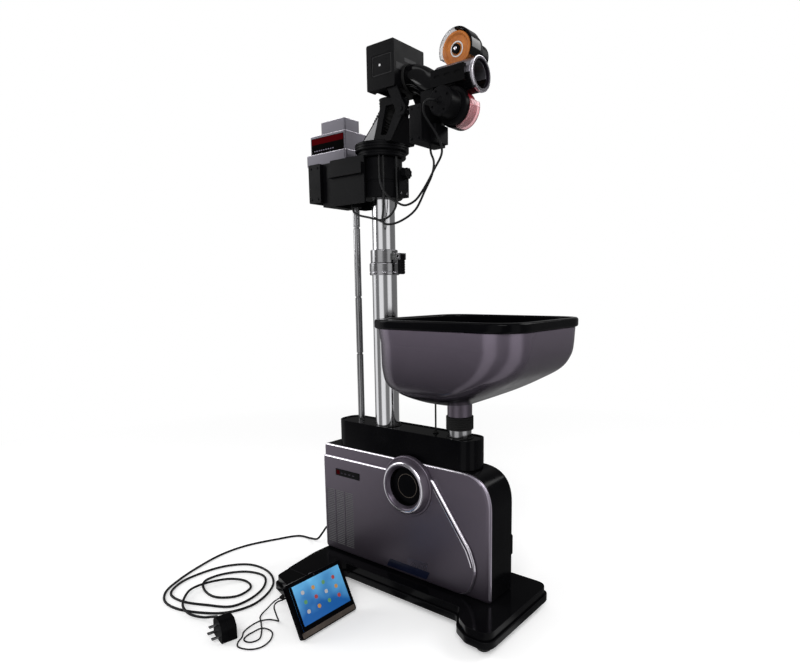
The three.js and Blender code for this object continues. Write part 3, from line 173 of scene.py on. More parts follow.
def shader(name):
    material = bpy.data.materials.new(name)
    tree = Tree(material)
    return material, tree, tree.nodes["Principled BSDF"]


def surface(name, dark, light, rough, metal=0.0, patch=9.0, grain=1500.0, depth=1.2e-5, coat=0.0,
            stretch=(1, 1, 1), rough_stretch=None, specular=0.3):
    """Broad colour variation, smudged roughness and a fine grain."""
    material, tree, shade = shader(name)
    along = rough_stretch or stretch
    tree.feed(shade, {
        "Base Color": tree.shades(tree.noise(patch, 4.0, stretch), dark, light),
        "Roughness": tree.spread(tree.noise(patch * 4, 5.0, along), *rough),
        "Normal": tree.bump(tree.noise(grain, 2.0, along), depth),
        "Metallic": metal, "Coat Weight": coat, "Coat Roughness": 0.05, "Specular IOR Level": specular})
    return material


def clear(name, tint, rough, patch=14.0):
    """Tinted see-through plastic with faint smears."""
    material, tree, shade = shader(name)
    darker = tuple(0.8 * part for part in tint)
    tree.feed(shade, {
        "Base Color": tree.shades(tree.noise(patch), darker, tint),
        "Roughness": tree.spread(tree.noise(patch * 5, 4.0), *rough),
        "Normal": tree.bump(tree.noise(60.0), 6e-5), "Transmission Weight": 0.75, "IOR": 1.3})
    return material


def paint_with_painted_shade(name, low_z, high_z, dark, light, rough, metal, coat, flake=2600.0):
    """Metallic paint with painted shade: darker towards the bottom and lighter with height, with fine flakes.
    """
    material, tree, shade = shader(name)
    flakes = tree.spread(tree.noise(flake, 1.0), -0.03, 0.03, 0.2, 0.8)
    mixed = tree.math("ADD", tree.height(low_z, high_z), flakes)
    tree.feed(shade, {
        "Base Color": tree.shades(mixed, dark, light, 0.0, 1.0),
        "Roughness": tree.spread(tree.noise(40.0, 5.0), *rough),
        "Normal": tree.bump(tree.noise(flake, 1.0), 3e-6),
        "Metallic": metal, "Coat Weight": coat, "Coat Roughness": 0.12})
    return material


def glowing(name, dark, light, low_z, high_z, strength):
    """Backlit screen, darker towards the bottom."""
    material, tree, shade = shader(name)
    wave = tree.spread(tree.noise(22.0, 2.0), -0.25, 0.25)
    colour = tree.shades(tree.math("ADD", tree.height(low_z, high_z), wave), dark, light, 0.0, 1.0)
    shown = tree.math("MULTIPLY", tree.add("LightPath", {}, "Is Camera Ray"), strength)
    tree.feed(shade, {"Base Color": colour, "Emission Color": colour, "Emission Strength": shown,
                      "Roughness": 0.12})
    return material


def make_looks():
    return Sizes(
        black=surface("satin_black", (0.0015, 0.0015, 0.002), (0.0045, 0.0045, 0.005), (0.3, 0.42),
                      grain=1900.0, specular=0.04),
        gloss=surface("gloss_black", (0.001, 0.001, 0.0015), (0.003, 0.003, 0.0035), (0.1, 0.18),
                      specular=0.05),
        wet=surface("wet_black", (0.001, 0.001, 0.001), (0.003, 0.003, 0.0035), (0.06, 0.12), specular=0.15,
                    coat=0.15),
        # Painted shade: the purple paint darkens towards the bottom of the body, and the bowl paint towards
        # the bowl's underside.
        purple=paint_with_painted_shade("purple_paint", 0.05, 0.27, (0.036, 0.029, 0.040), (0.108, 0.091, 0.117), (0.34, 0.38),
                       0.6, 0.0),
        bowl=paint_with_painted_shade("bowl_paint", 0.44, 0.56, (0.016, 0.013, 0.019), (0.150, 0.125, 0.163), (0.20, 0.26),
                     0.6, 0.05),
        # Dark purple: on the cover a painted shade line beside its sloped edge, and on the muzzle ring its
        # inner face.
        groove=surface("dark_purple_and_painted_shade", (0.010, 0.008, 0.012), (0.018, 0.014, 0.021), (0.3, 0.4), metal=0.5,
                       specular=0.1),
        # Bright metal for the wheel nuts and muzzle ring, and a painted highlight where it is put on bevels
        # and rounded edges of painted parts.
        edge=surface("bright_metal_and_painted_highlight", (0.60, 0.57, 0.63), (0.76, 0.73, 0.79), (0.2, 0.28), metal=1.0),
        chrome=surface("chrome", (0.60, 0.60, 0.615), (0.72, 0.72, 0.74), (0.09, 0.15), metal=1.0,
                       stretch=(1, 1, 0.05), rough_stretch=(1, 1, 0.03)),
        bezel=surface("bezel_metal", (0.52, 0.50, 0.55), (0.68, 0.66, 0.71), (0.16, 0.24), metal=1.0),
        steel=surface("steel", (0.24, 0.24, 0.245), (0.36, 0.36, 0.37), (0.14, 0.22), metal=1.0),
        silver=surface("silver_paint", (0.15, 0.145, 0.165), (0.24, 0.23, 0.26), (0.26, 0.36), metal=0.8,
                       coat=0.1),
        rubber=surface("rubber", (0.006, 0.006, 0.006), (0.014, 0.014, 0.014), (0.6, 0.8), grain=1200.0,
                       depth=4e-5, specular=0.12),
        cord=surface("cord_rubber", (0.004, 0.004, 0.004), (0.009, 0.009, 0.010), (0.36, 0.5), grain=900.0,
                     depth=2e-5, specular=0.15),
        amber=surface("amber_rubber", (0.28, 0.080, 0.012), (0.40, 0.13, 0.02), (0.35, 0.5), patch=60.0,
                      coat=0.1),
        red=surface("red_rubber", (0.20, 0.008, 0.015), (0.34, 0.02, 0.03), (0.35, 0.5), patch=60.0,
                    coat=0.1),
        smoke=clear("smoked_plastic", (0.86, 0.86, 0.87), (0.06, 0.16)),
        rose=clear("rose_plastic", (0.90, 0.52, 0.55), (0.06, 0.16)),
        ivory=surface("ivory_plastic", (0.60, 0.57, 0.50), (0.74, 0.71, 0.64), (0.35, 0.45)),
        green=surface("board_green", (0.01, 0.07, 0.03), (0.02, 0.12, 0.05), (0.3, 0.4), patch=120.0),
        bronze=surface("bronze_strip", (0.16, 0.13, 0.11), (0.26, 0.22, 0.19), (0.26, 0.38), metal=0.8),
        label=surface("label_red", (0.030, 0.001, 0.002), (0.055, 0.002, 0.003), (0.45, 0.55), specular=0.0),
        pale=surface("pale_print", (0.50, 0.50, 0.51), (0.62, 0.62, 0.63), (0.35, 0.45)),
        navy=surface("navy_plate", (0.003, 0.004, 0.012), (0.006, 0.008, 0.020), (0.16, 0.26), specular=0.1),
        plate=surface("plate_grey", (0.045, 0.040, 0.055), (0.085, 0.075, 0.10), (0.24, 0.34), metal=0.8),
        cone=surface("port_cone", (0.050, 0.041, 0.055), (0.10, 0.085, 0.11), (0.28, 0.38), metal=0.8),
        graphite=surface("graphite_print", (0.010, 0.010, 0.011), (0.020, 0.020, 0.021), (0.35, 0.45),
                         specular=0.1),
        mesh=surface("vent_mesh", (0.10, 0.10, 0.105), (0.17, 0.17, 0.175), (0.3, 0.4), metal=0.3),
        ink=surface("label_black", (0.001, 0.001, 0.001), (0.003, 0.003, 0.003), (0.45, 0.55), specular=0.0),
        case=surface("case_grey", (0.055, 0.052, 0.063), (0.10, 0.095, 0.112), (0.34, 0.44), metal=0.6),
        # Painted highlight: a lighter purple laid on rounded edges as their sheen.
        soft=surface("painted_sheen_purple", (0.26, 0.23, 0.28), (0.36, 0.33, 0.39), (0.28, 0.36), metal=0.9),
        sheet=surface("sheet_grey", (0.20, 0.20, 0.205), (0.34, 0.34, 0.35), (0.3, 0.4), metal=0.3),
        leaf=surface("icon_green", (0.12, 0.34, 0.14), (0.18, 0.44, 0.18), (0.2, 0.3)),
        sun=surface("icon_orange", (0.62, 0.30, 0.08), (0.70, 0.38, 0.12), (0.2, 0.3)),
        lamp=surface("icon_red", (0.42, 0.06, 0.06), (0.55, 0.09, 0.08), (0.2, 0.3)),
        screen=glowing("screen_blue", (0.012, 0.10, 0.34), (0.15, 0.50, 0.82), 0.03, 0.11, 0.28),
    )


# Solids in millimetres
def spot_on(axis, u, v, w):
    return {"x": (w, u, v), "y": (u, w, v), "z": (u, v, w)}[axis]


def rounded(points, radius=0.0, steps=8):
    """Outline with a round at each corner: points (u, v) or (u, v, radius). One step makes a chamfer."""
    outline = []
    for i, point in enumerate(points):
        corner = Vector(point[:2])
        wanted = point[2] if len(point) > 2 else radius
        if wanted <= 0:
            outline.append(tuple(corner))
            continue
        back = Vector(points[i - 1][:2]) - corner
        on = Vector(points[(i + 1) % len(points)][:2]) - corner
        half = abs(back.angle_signed(on)) / 2
        reach = min(wanted / math.tan(half), back.length * 0.49, on.length * 0.49)
        start = corner + back.normalized() * reach
        end = corner + on.normalized() * reach
        for k in range(steps + 1):
            t = k / steps
            outline.append(tuple(start * (1 - t) ** 2 + corner * 2 * t * (1 - t) + end * t ** 2))
    return outline


def oblong(u0, u1, v0, v1, radius, steps=8):
    return rounded([(u0, v0), (u1, v0), (u1, v1), (u0, v1)], radius, steps)


def skin(rings, around=False):
    """Quads through rings of points, with a face on each end or closed round on themselves."""
    bm = bmesh.new()
    rows = [[bm.verts.new(p) for p in ring] for ring in rings]
    count = len(rows[0])
    for a, b in zip(rows, rows[1:] + ([rows[0]] if around else [])):
        for i in range(count):
            j = (i + 1) % count
            bm.faces.new((a[i], a[j], b[j], b[i]))
    if not around:
        bm.faces.new(rows[0][::-1])
        bm.faces.new(rows[-1])
    bmesh.ops.recalc_face_normals(bm, faces=bm.faces)
    return bm


def prism(outline, axis, start, end):
    """An outline pulled through along an axis."""
    return skin([[spot_on(axis, u, v, w) for u, v in outline] for w in (start, end)])


def slab(axis, u0, u1, v0, v1, start, end, radius, steps=8):
    """A plate with rounded corners."""
    return prism(oblong(u0, u1, v0, v1, radius, steps), axis, start, end)


def block(x0, x1, y0, y1, z0, z1):
    return prism([(x0, y0), (x1, y0), (x1, y1), (x0, y1)], "z", z0, z1)


def lathe(profile, axis, u, v, steps=64):
    """A profile of (radius, height) or (radius, height, chamfer) turned round a line along an axis.
    It closes on itself unless it meets the line."""
    angles = [i * TAU / steps for i in range(steps)]
    rings = [[spot_on(axis, u + r * math.cos(angle), v + r * math.sin(angle), height) for angle in angles]
             for r, height in ((max(radius, 1e-3), height) for radius, height in rounded(profile, 0, 1))]
    return skin(rings, profile[0][0] > 0)


def groove(radius, depth, slope, start, end):
    """Profile points of a groove with sloped sides."""
    return [(radius, start), (radius - depth, start + slope), (radius - depth, end - slope), (radius, end)]


def rod(axis, radius, start, end, u, v, steps=48):
    return lathe([(0, start), (radius, start), (radius, end), (0, end)], axis, u, v, steps)


def pipe(axis, radius, bore, start, end, u, v, steps=64, edge=0.8):
    return lathe([(bore, start, edge), (radius, start, edge), (radius, end, edge), (bore, end, edge)], axis,
                 u, v, steps)


def smooth(points, step):
    """Centripetal curve through points, sampled about every step."""
    knots = [Vector(p) for p in points]
    knots = [knots[0] * 2 - knots[1], *knots, knots[-1] * 2 - knots[-2]]
    line = []
    for a, b, c, d in zip(knots, knots[1:], knots[2:], knots[3:]):
        t1 = (b - a).length ** 0.5
        t2 = t1 + (c - b).length ** 0.5
        t3 = t2 + (d - c).length ** 0.5
        count = max(2, round((c - b).length / step))
        for k in range(count):
            t = t1 + (t2 - t1) * k / count
            ab, bc = a.lerp(b, t / t1), b.lerp(c, (t - t1) / (t2 - t1))
            cd = c.lerp(d, (t - t2) / (t3 - t2))
            line.append(ab.lerp(bc, t / t2).lerp(bc.lerp(cd, (t - t1) / (t3 - t1)), (t - t1) / (t2 - t1)))
    line.append(knots[-2])
    return line


def sweep(points, radius, sides=24, bore=0.0):
    """Round tube along points, solid or with a bore; radius may be a function of the share of its way."""
    points = [Vector(p) for p in points]
    width = radius if callable(radius) else (lambda share: radius)
    frames = []
    normal = None
    for i, point in enumerate(points):
        ahead = (points[min(i + 1, len(points) - 1)] - points[max(i - 1, 0)]).normalized()
        if normal is None:
            normal = ahead.orthogonal().normalized()
        normal = (normal - ahead * normal.dot(ahead)).normalized()
        frames.append((point, normal.copy(), ahead.cross(normal), i / (len(points) - 1)))

    def ring(place, size):
        point, a, b, share = place
        angles = (k * TAU / sides for k in range(sides))
        return [point + (a * math.cos(angle) + b * math.sin(angle)) * size for angle in angles]

    outer = [ring(place, width(place[3])) for place in frames]
    if not bore:
        return skin(outer)
    return skin(outer + [ring(place, bore) for place in reversed(frames)], True)


def pillow(outline, back, front, radius, steps=7):
    """A plate along Y whose front edge is rounded over; outline gives its shape at an inset."""
    toward = 1 if front > back else -1
    rings = [[(u, back, v) for u, v in outline(0)]]
    for k in range(steps + 1):
        turn = k / steps * TAU / 4
        y = front - toward * radius * (1 - math.sin(turn))
        rings.append([(u, y, v) for u, v in outline(radius * (1 - math.cos(turn)))])
    return skin(rings)


def together(*solids):
    """Several closed shells as one mesh."""
    whole = bmesh.new()
    for solid in solids:
        mesh = bpy.data.meshes.new("part")
        solid.to_mesh(mesh)
        whole.from_mesh(mesh)
        bpy.data.meshes.remove(mesh)
        solid.free()
    return whole


def placed(solid, matrix):
    solid.transform(matrix)
    return solid


def plain_object(solid):
    mesh = bpy.data.meshes.new("part")
    solid.to_mesh(mesh)
    solid.free()
    thing = bpy.data.objects.new("part", mesh)
    bpy.context.collection.objects.link(thing)
    return thing


def baked(thing):
    graph = bpy.context.evaluated_depsgraph_get()
    return bpy.data.meshes.new_from_object(thing.evaluated_get(graph))


def boolean(operation, solid, *tools):
    base = plain_object(solid)
    helpers = [plain_object(tool) for tool in tools]
    for helper in helpers:
        change = base.modifiers.new("boolean", "BOOLEAN")
        change.operation = operation
        change.solver = "EXACT"
        change.object = helper
    mesh = baked(base)
    result = bmesh.new()
    result.from_mesh(mesh)
    bpy.data.meshes.remove(mesh)
    for thing in [base, *helpers]:
        bpy.data.meshes.remove(thing.data)
    return result


def cut(solid, *tools):
    return boolean("DIFFERENCE", solid, *tools)


def fused(solid, *tools):
    return boolean("UNION", solid, *tools)


def piece(name, solid, body, look, nodes=(), bevel=0.0, segments=3, edge=None, angle=32):
    """A finished piece: bevelled, smooth where it is round, riding on its body."""
    bmesh.ops.remove_doubles(solid, verts=solid.verts, dist=WELD)
    bmesh.ops.dissolve_degenerate(solid, dist=WELD, edges=solid.edges)
    thing = plain_object(placed(solid, Matrix.Translation(MAST) @ Matrix.Scale(MM, 4)))
    thing.data.materials.append(look)
    if edge:
        thing.data.materials.append(edge)
    if bevel:
        change = thing.modifiers.new("bevel", "BEVEL")
        change.width = bevel * MM
        change.segments = segments
        change.limit_method = "ANGLE"
        change.angle_limit = math.radians(40)
        change.miter_outer = "MITER_ARC"
        change.material = 1 if edge else -1
    mesh, old = baked(thing), thing.data
    thing.modifiers.clear()
    thing.data = mesh
    bpy.data.meshes.remove(old)
    for polygon in mesh.polygons:
        polygon.use_smooth = True
    mesh.set_sharp_from_angle(angle=math.radians(angle))
    weigh = thing.modifiers.new("weighted", "WEIGHTED_NORMAL")
    weigh.keep_sharp = True
    weigh.weight = 60
    mesh = baked(thing)
    thing.modifiers.clear()
    thing.data = mesh
    thing.name = mesh.name = name
    if nodes:
        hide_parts(*nodes)
    if body:
        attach(thing, body)
    return thing


def dress(node, solid, body, look, *finish, **extra):
    """The piece that replaces a node's own solid."""
    return piece(f"{node}_skin", solid, body, look, [node], *finish, **extra)


def second_look(thing, look, chosen):
    """Another material on the faces that a test on centre and normal picks."""
    thing.data.materials.append(look)
    for polygon in thing.data.polygons:
        if chosen((polygon.center - MAST) / MM, polygon.normal):
            polygon.material_index = len(thing.data.materials) - 1


def screw_head(axis, u, v, face, outward, radius=3.2, rise=1.4):
    """Low domed head with a cross recess, standing on a face."""
    head = lathe([(0, face), (radius, face), (radius, face + outward * rise * 0.45),
                  (radius * 0.7, face + outward * rise * 0.9), (0, face + outward * rise)], axis, u, v, 24)
    wide, narrow = radius * 0.55, radius * 0.14
    top = sorted((face + outward * rise * 0.5, face + outward * rise * 2))
    for a, b in ((wide, narrow), (narrow, wide)):
        head = cut(head, prism([(u - a, v - b), (u + a, v - b), (u + a, v + b), (u - a, v + b)], axis, *top))
    return head


# Base
BASE = Sizes(bar=80.5, left_inner=-64, left_taper=20, left_slant=22, right_inner=238, right_front=-128,
             notch=18, corner=26, tip=14, wall=3, inset=4, bevel=2.2, recess=1.2)
RECESS = Sizes(left=-158, right=-84, front=-206, back=-166, corner=4)
BUTTON = Sizes(radius=6.5, proud=2.6, travel=2, dimple=3.4)
FOOT = Sizes(pad=1.2, edge=4.2, plate=6.6, top=13.6)


def base_outline(tray, inset):
    b = BASE
    tip = tray.y0 + b.left_slant
    left, right, back = tray.x0 + inset, tray.x1 - inset, tray.y1 - inset
    inner, far, front = b.left_inner - inset, b.right_inner + inset, b.right_front + inset
    return rounded([
        (left, back, b.corner), (left, -b.bar, b.corner), (left + b.left_taper, tip + inset, b.tip),
        (inner, tray.y0 + inset, b.tip), (inner, inset - b.bar, b.tip), (far, inset - b.bar, b.tip),
        (far + b.notch, front + b.notch, b.corner), ((far + right) / 2, front, b.corner),
        (right, front, b.corner), (right, back, b.corner), (far, back, b.corner), (far, b.bar - inset, b.tip),
        (inner, b.bar - inset, b.tip), (inner, back, b.tip)])


def make_base(looks):
    b, button = BASE, BUTTON
    tray, cover, switch = Place("base_frame"), Place("base_cover"), Place("standby_button")

    def pan(place, inset, *tools):
        room = prism(base_outline(tray, inset + b.wall), "z", place.z0 - b.wall, place.z1 - b.wall)
        return cut(prism(base_outline(tray, inset), "z", place.z0, place.z1), room, *tools)
    dress("base_frame", pan(tray, 0), "base", looks.gloss, b.bevel, edge=looks.black)
    recess = slab("z", RECESS.left, RECESS.right, RECESS.front, RECESS.back, cover.z1 - b.recess,
                  cover.z1 + OVER, RECESS.corner)
    hole = rod("z", button.radius + 2 * SEAT, cover.z0 - OVER, cover.z1 + OVER, switch.x, switch.y)
    dress("base_cover", pan(cover, b.inset, recess, hole), "base", looks.gloss, b.bevel, edge=looks.black)

    rise, foot = cover.z1 + button.proud, switch.z0 + button.travel
    solid = lathe([(0, switch.z0), (button.radius + button.travel, switch.z0),
                   (button.radius + button.travel, foot),
                   (button.radius, foot), (button.radius, rise - 1), (button.radius - 0.4, rise - 0.3),
                   (button.radius - 1.1, rise), (button.dimple, rise - 0.2),
                   (button.dimple * 0.6, rise - 0.6), (0, rise - 0.8)], "z", switch.x, switch.y)
    dress("standby_button", solid, "standby_button", looks.silver)

    f = FOOT
    for i in range(4):
        node = f"foot_pad_{i + 1}"
        pad = Place(node)
        wide = pad.radius
        solid = lathe([(0, 0), (wide - f.edge, 0), (wide - f.edge + NICK, 0.5), (wide - 1.6, 2.2),
                       (wide - f.pad, 5), (wide - f.pad, f.plate - NICK), (wide, f.plate), (wide, f.top - 1),
                       (wide - 0.7, f.top - 0.2),
                       (wide - 2, f.top), (wide - 2, pad.z1), (0, pad.z1)], "z", pad.x, pad.y)
        dress(node, solid, "base", looks.rubber)


# Body
BODY = Sizes(wall=3, corner=9, foot=6, shoulder=67, rear_wall=3.7, front_round=4.2, gland=6.8, axle=4,
             axle_z=172, boss=(259, 281, 112, 154, 4), ribs=9, rib_pitch=26, rib_wide=6, rib_rise=1.2)
# COVER's lip, groove and line: inset and widths of the painted shade stripe and painted highlight stripe on
# the sloped edge.
COVER = Sizes(knee=151, slope_x=241, slope_z=144, bulge_x=256, bulge_z=104, knee_corner=12, slope_corner=60,
              low=239, low_corner=46, corner=7, round=4.5, lip=5, groove=2, line=2.2)
VENT = Sizes(left=-153, right=-68, bottom=62, top=190, columns=3, rows=30, gap=2.5, slot=2.6)
SIGN = Sizes(left=-120, right=-46, bottom=224.5, top=240, rise=0.9, margin=3, lamp=13, dash=6, line=1.4)
NAME_PLATE = Sizes(left=29, right=145, bottom=53, top=88, rise=0.7, lean=9, bar=17, step=84)
PORT = Sizes(base=62, rim=51, lip=44, bore=38.5, depth=60.5, lip_depth=52, disc=7, ring=24)
CAP = Sizes(wall=3, lip=4, dish=2)
STAY = Sizes(wire=1.8, cuff=6, tip=4)


def body_outline(casing, inset, side=0.0):
    b = BODY
    left, right = casing.x0 + inset, casing.x1 - inset - side
    bottom, top = casing.z0 + inset, casing.z1 - inset
    return rounded([(left, bottom, b.foot), (left, top, max(b.corner - inset, inset)),
                    (right, top, b.shoulder - inset), (right, bottom, b.foot)], 0, 14)


def cover_outline(plate, inset):
    c = COVER
    left, bottom, top = plate.x0 + inset, plate.z0 + inset, plate.z1 - inset
    return rounded([
        (left, bottom, c.corner), (left, top, c.corner), (c.knee - inset / 2, top, c.knee_corner),
        (c.slope_x - inset * 1.1, c.slope_z - inset / 2, c.slope_corner),
        (c.bulge_x - inset, c.bulge_z, c.slope_corner), (c.low - inset, bottom, c.low_corner)], 0, 14)


def vent_slots(y0, y1):
    v = VENT
    width = (v.right - v.left - v.gap * (v.columns - 1)) / v.columns
    pitch = (v.top - v.bottom) / v.rows
    slots = []
    for column in range(v.columns):
        x = v.left + column * (width + v.gap)
        for row in range(v.rows):
            z = v.bottom + (row + 0.5) * pitch
            slots.append(slab("y", x, x + width, z - v.slot / 2, z + v.slot / 2, y0, y1, v.slot * 0.45, 3))
    return together(*slots)


def post_holes(start, end):
    """Cutting rods for the pole, the side rod and the hopper's tube."""
    posts = (("lower_pole", SEAT, 64), ("side_rod", 2 * SEAT, 48), ("hopper_tube", SEAT, 64))
    return [rod("z", Place(node).radius + gap, start, end, Place(node).x, 0, steps)
            for node, gap, steps in posts]


def on_round(normal, limit=0.97):
    """A face of the rounded front edge of a pillow."""
    return -limit < normal.y < -0.1


def make_body(looks):
    b = BODY
    casing, gland, tube = Place("body_casing"), Place("cord_relief"), Place("hopper_tube")
    solid = cut(prism(body_outline(casing, 0), "y", casing.y0, casing.y1),
                prism(body_outline(casing, b.wall), "y", casing.y0 - OVER, casing.y1 + OVER),
                *post_holes(casing.z1 - 3 * b.wall, casing.z1 + OVER),
                rod("x", b.gland, casing.x0 - OVER, casing.x0 + 2 * b.wall, gland.y, gland.z))
    dress("body_casing", solid, "base", looks.gloss, 0.5, 2)

    front = Place("front_frame")
    plate = pillow(lambda inset: body_outline(casing, inset, inset * 2), front.y1, front.y0, b.front_round)
    shell = dress("front_frame", plate, "base", looks.purple, angle=60)
    # Painted highlight: the rounded shoulder takes the lighter sheen purple, and the top edge a bright
    # highlight line.
    second_look(shell, looks.soft, lambda spot, normal: on_round(normal) and spot.z > b.shoulder)
    second_look(shell, looks.edge,
                lambda spot, normal: on_round(normal, 0.96) and normal.z > 0.3 and spot.x < 230)

    rear = Place("rear_cover")
    back = casing.y1 + SEAT + b.rear_wall
    flat = prism(body_outline(casing, 0), "y", back - b.rear_wall, back)
    hump = prism(oblong(*b.boss), "y", back - b.rear_wall / 2, rear.y1)
    ribs = [block(x, x + b.rib_wide, back - 1, back + b.rib_rise, 66, 120)
            for x in (-20 + i * b.rib_pitch for i in range(b.ribs))]
    solid = cut(fused(flat, hump), vent_slots(back - 8, back + 4))
    axle = rod("y", b.axle, front.y1 + SEAT, back - 1, tube.x / 2, b.axle_z)
    heads = [screw_head("y", x, z, back, 1) for x in (-150, 60, 272) for z in (56, 200)]
    dress("rear_cover", together(solid, together(*ribs), axle, *heads), "base", looks.black, 0.9, 2)


def make_front(looks):
    make_cover(looks)
    make_signs(looks)
    make_port(looks)


def make_cover(looks):
    c, v = COVER, VENT
    plate, port = Place("front_cover"), Place("porthole_ring")
    near, far = plate.y0 - OVER, plate.y1 + OVER
    solid = cut(pillow(lambda inset: cover_outline(plate, inset), plate.y1, plate.y0, c.round),
                rod("y", PORT.base + SEAT, near, far, port.x, port.z, ROUND), vent_slots(near, far))
    piece("vent_mesh", block(v.left - 1, v.right + 1, plate.y0 + 1.2, plate.y0 + 1.8, v.bottom - 1,
                             v.top + 1),
          "base", looks.mesh)
    cover = dress("front_cover", solid, "base", looks.purple, angle=50)
    # Painted highlight: the right-hand rounded edge takes the lighter sheen purple, and the rounded edge
    # above the bulge a bright highlight line.
    second_look(cover, looks.soft, lambda spot, normal: on_round(normal) and normal.x > 0.1)
    second_look(cover, looks.edge, lambda spot, normal: on_round(normal, 0.96) and spot.z > c.bulge_z)
    # Painted shade and painted highlight: a dark stripe and a bright stripe laid on the cover's sloped edge
    # stand in for the shading of a rounded rib.
    stripes = (("painted_stripe", looks.groove, c.lip, c.groove), ("line", looks.edge, c.lip + c.groove, c.line))
    for name, look, start, wide in stripes:
        painted_stripe = cut(prism(cover_outline(plate, start), "y", plate.y0 - 0.1, plate.y0 + 1),
                   prism(cover_outline(plate, start + wide), "y", near, plate.y0 + OVER))
        slope = block(c.knee + 4, plate.x1 + OVER, near, plate.y0 + OVER, c.bulge_z + 6, plate.z1 + OVER)
        piece(f"front_cover_{name}", boolean("INTERSECT", painted_stripe, slope), "base", look)


def make_signs(looks):
    front = Place("front_cover").y0
    s = SIGN
    face = front - s.rise
    piece("sign_window", slab("y", s.left, s.right, s.bottom, s.top, face, front + 1, 1.5), "base",
          looks.gloss, (), 0.3, 2)
    lamp = slab("y", s.left + s.margin, s.left + s.lamp, s.bottom + s.margin, s.top - s.margin, face - 0.1,
                face + 1, 1)
    piece("sign_lamp", lamp, "base", looks.label)
    foot = s.bottom + s.lamp / 2
    dashes = [block(x, x + s.dash, face - 0.1, face + 1, foot, foot + s.line)
              for x in range(s.left + s.lamp + s.margin, s.right - s.lamp, 2 * s.dash)]
    piece("sign_dashes", together(*dashes), "base", looks.plate)

    n = NAME_PLATE
    face, end, middle = front - n.rise, n.right - n.lean, n.bottom + n.bar
    strip = rounded([(n.left, n.bottom), (end, n.bottom), (n.right, middle), (n.left + n.lean, middle)], 1.5)
    piece("name_plate", prism(strip, "y", face, front + 1), "base", looks.navy, (), 0.3, 2)
    upper = rounded([(n.step, middle + 1), (end, middle + 1), (n.right - n.lean / 2, n.top),
                     (n.step + n.lean / 2, n.top)], 1.5)
    piece("name_plate_upper", prism(upper, "y", face + 0.3, front + 1), "base", looks.plate, (), 0.3, 2)


def make_port(looks):
    p, port = PORT, Place("porthole_ring")
    x, z, back, front, tip = port.x, port.z, port.y1, Place("front_cover").y0, -p.depth
    solid = lathe([(p.bore, back), (p.base - 1, back), (p.base, back - 0.8), (p.base, front - 1.4),
                   (p.base - 0.6, front - 3), (p.base - 2, front - 3.8), (p.base - 3.6, front - 3.6),
                   (p.base - 4.6, front - 3), (p.rim + 4.2, tip + 9), (p.rim + 2.6, tip + 4.5),
                   (p.rim + 1, tip + 2.2), (p.rim - 0.6, tip + 0.8), (p.rim - 2.6, tip), (p.lip + 2.4, tip),
                   (p.lip + 0.6, tip + 0.9), (p.lip - 1.2, tip + 2.8), (p.bore + 1, -p.lip_depth),
                   (p.bore, -p.lip_depth + 1.2)], "y", x, z, 128)
    ring = dress("porthole_ring", solid, "base", looks.bezel, angle=50)

    def reach(spot):
        return math.hypot(spot.x - x, spot.z - z)
    second_look(ring, looks.purple, lambda spot, normal: reach(spot) > p.rim + 1.6)
    second_look(ring, looks.cone, lambda spot, normal: reach(spot) < p.lip + 2.2)
    second_look(ring, looks.gloss, lambda spot, normal: reach(spot) < p.bore + 0.6)
    face = back - p.disc
    solid = lathe([(0, back), (p.bore - SEAT, back), (p.bore - SEAT, face + 1.4), (p.bore - 1.6, face),
                   (0, face)], "y", x, z, 128)
    dress("porthole_disc", solid, "base", looks.gloss)
    thin = pipe("y", p.ring + 0.8, p.ring, face - 0.1, face + 0.5, x, z, 128, 0)
    piece("porthole_disc_line", thin, "base", looks.bronze)


def make_cap(looks):
    c, s = CAP, STAY
    cap, stay = Place("top_cap"), Place("hopper_stay")
    under, over, dish = cap.z0 - OVER, cap.z1 + OVER, cap.z1 - c.dish

    def layer(inset, start, end):
        half = cap.y1 - inset
        return slab("z", cap.x0 + inset, cap.x1 - inset, -half, half, start, end, half - 3, 14)
    solid = cut(layer(0, cap.z0, cap.z1), layer(c.wall, under, dish - c.wall), layer(c.lip, dish, over),
                *post_holes(under, over), rod("z", s.wire + SEAT, under, over, stay.x, 0))
    dress("top_cap", solid, "base", looks.gloss, 1.2)

    deck, tip = dish + SEAT, stay.z1
    solid = lathe([(0, stay.z0), (s.wire, stay.z0), (s.wire, deck), (s.cuff, deck), (s.cuff, deck + 1.4),
                   (s.cuff - 0.8, deck + 2.2), (s.wire + 1, deck + 4), (s.wire, deck + 4), (s.wire, tip - 7),
                   (s.tip, tip - 7), (s.tip, tip - 2), (s.tip - NICK, tip - 0.9), (2, tip), (0, tip)],
                  "z", stay.x, 0, 32)
    dress("hopper_stay", solid, "base", looks.rubber)
    posts = ((Place("lower_pole"), 5), (Place("hopper_tube"), 4))
    washers = [pipe("z", post.radius + wide, post.radius + SEAT, dish, dish + 1.8, post.x, 0, 64, 0.5)
               for post, wide in posts]
    piece("cap_washers", together(*washers), "base", looks.rubber)


# Mast, collar and rod
CLAMP = Sizes(wide=30.5, narrow=28, step=688, ear=10, ear_x=50, ear_bottom=694, ear_top=707, lever=5.6,
              in_x=41, out_x=51.5, pin=2.2, pivot_x=45)
ROD = Sizes(notch=1.6, length=4.5, places=(497, 619, 765))
POLE_BORES = Sizes(lower=23.8, upper=21.2)


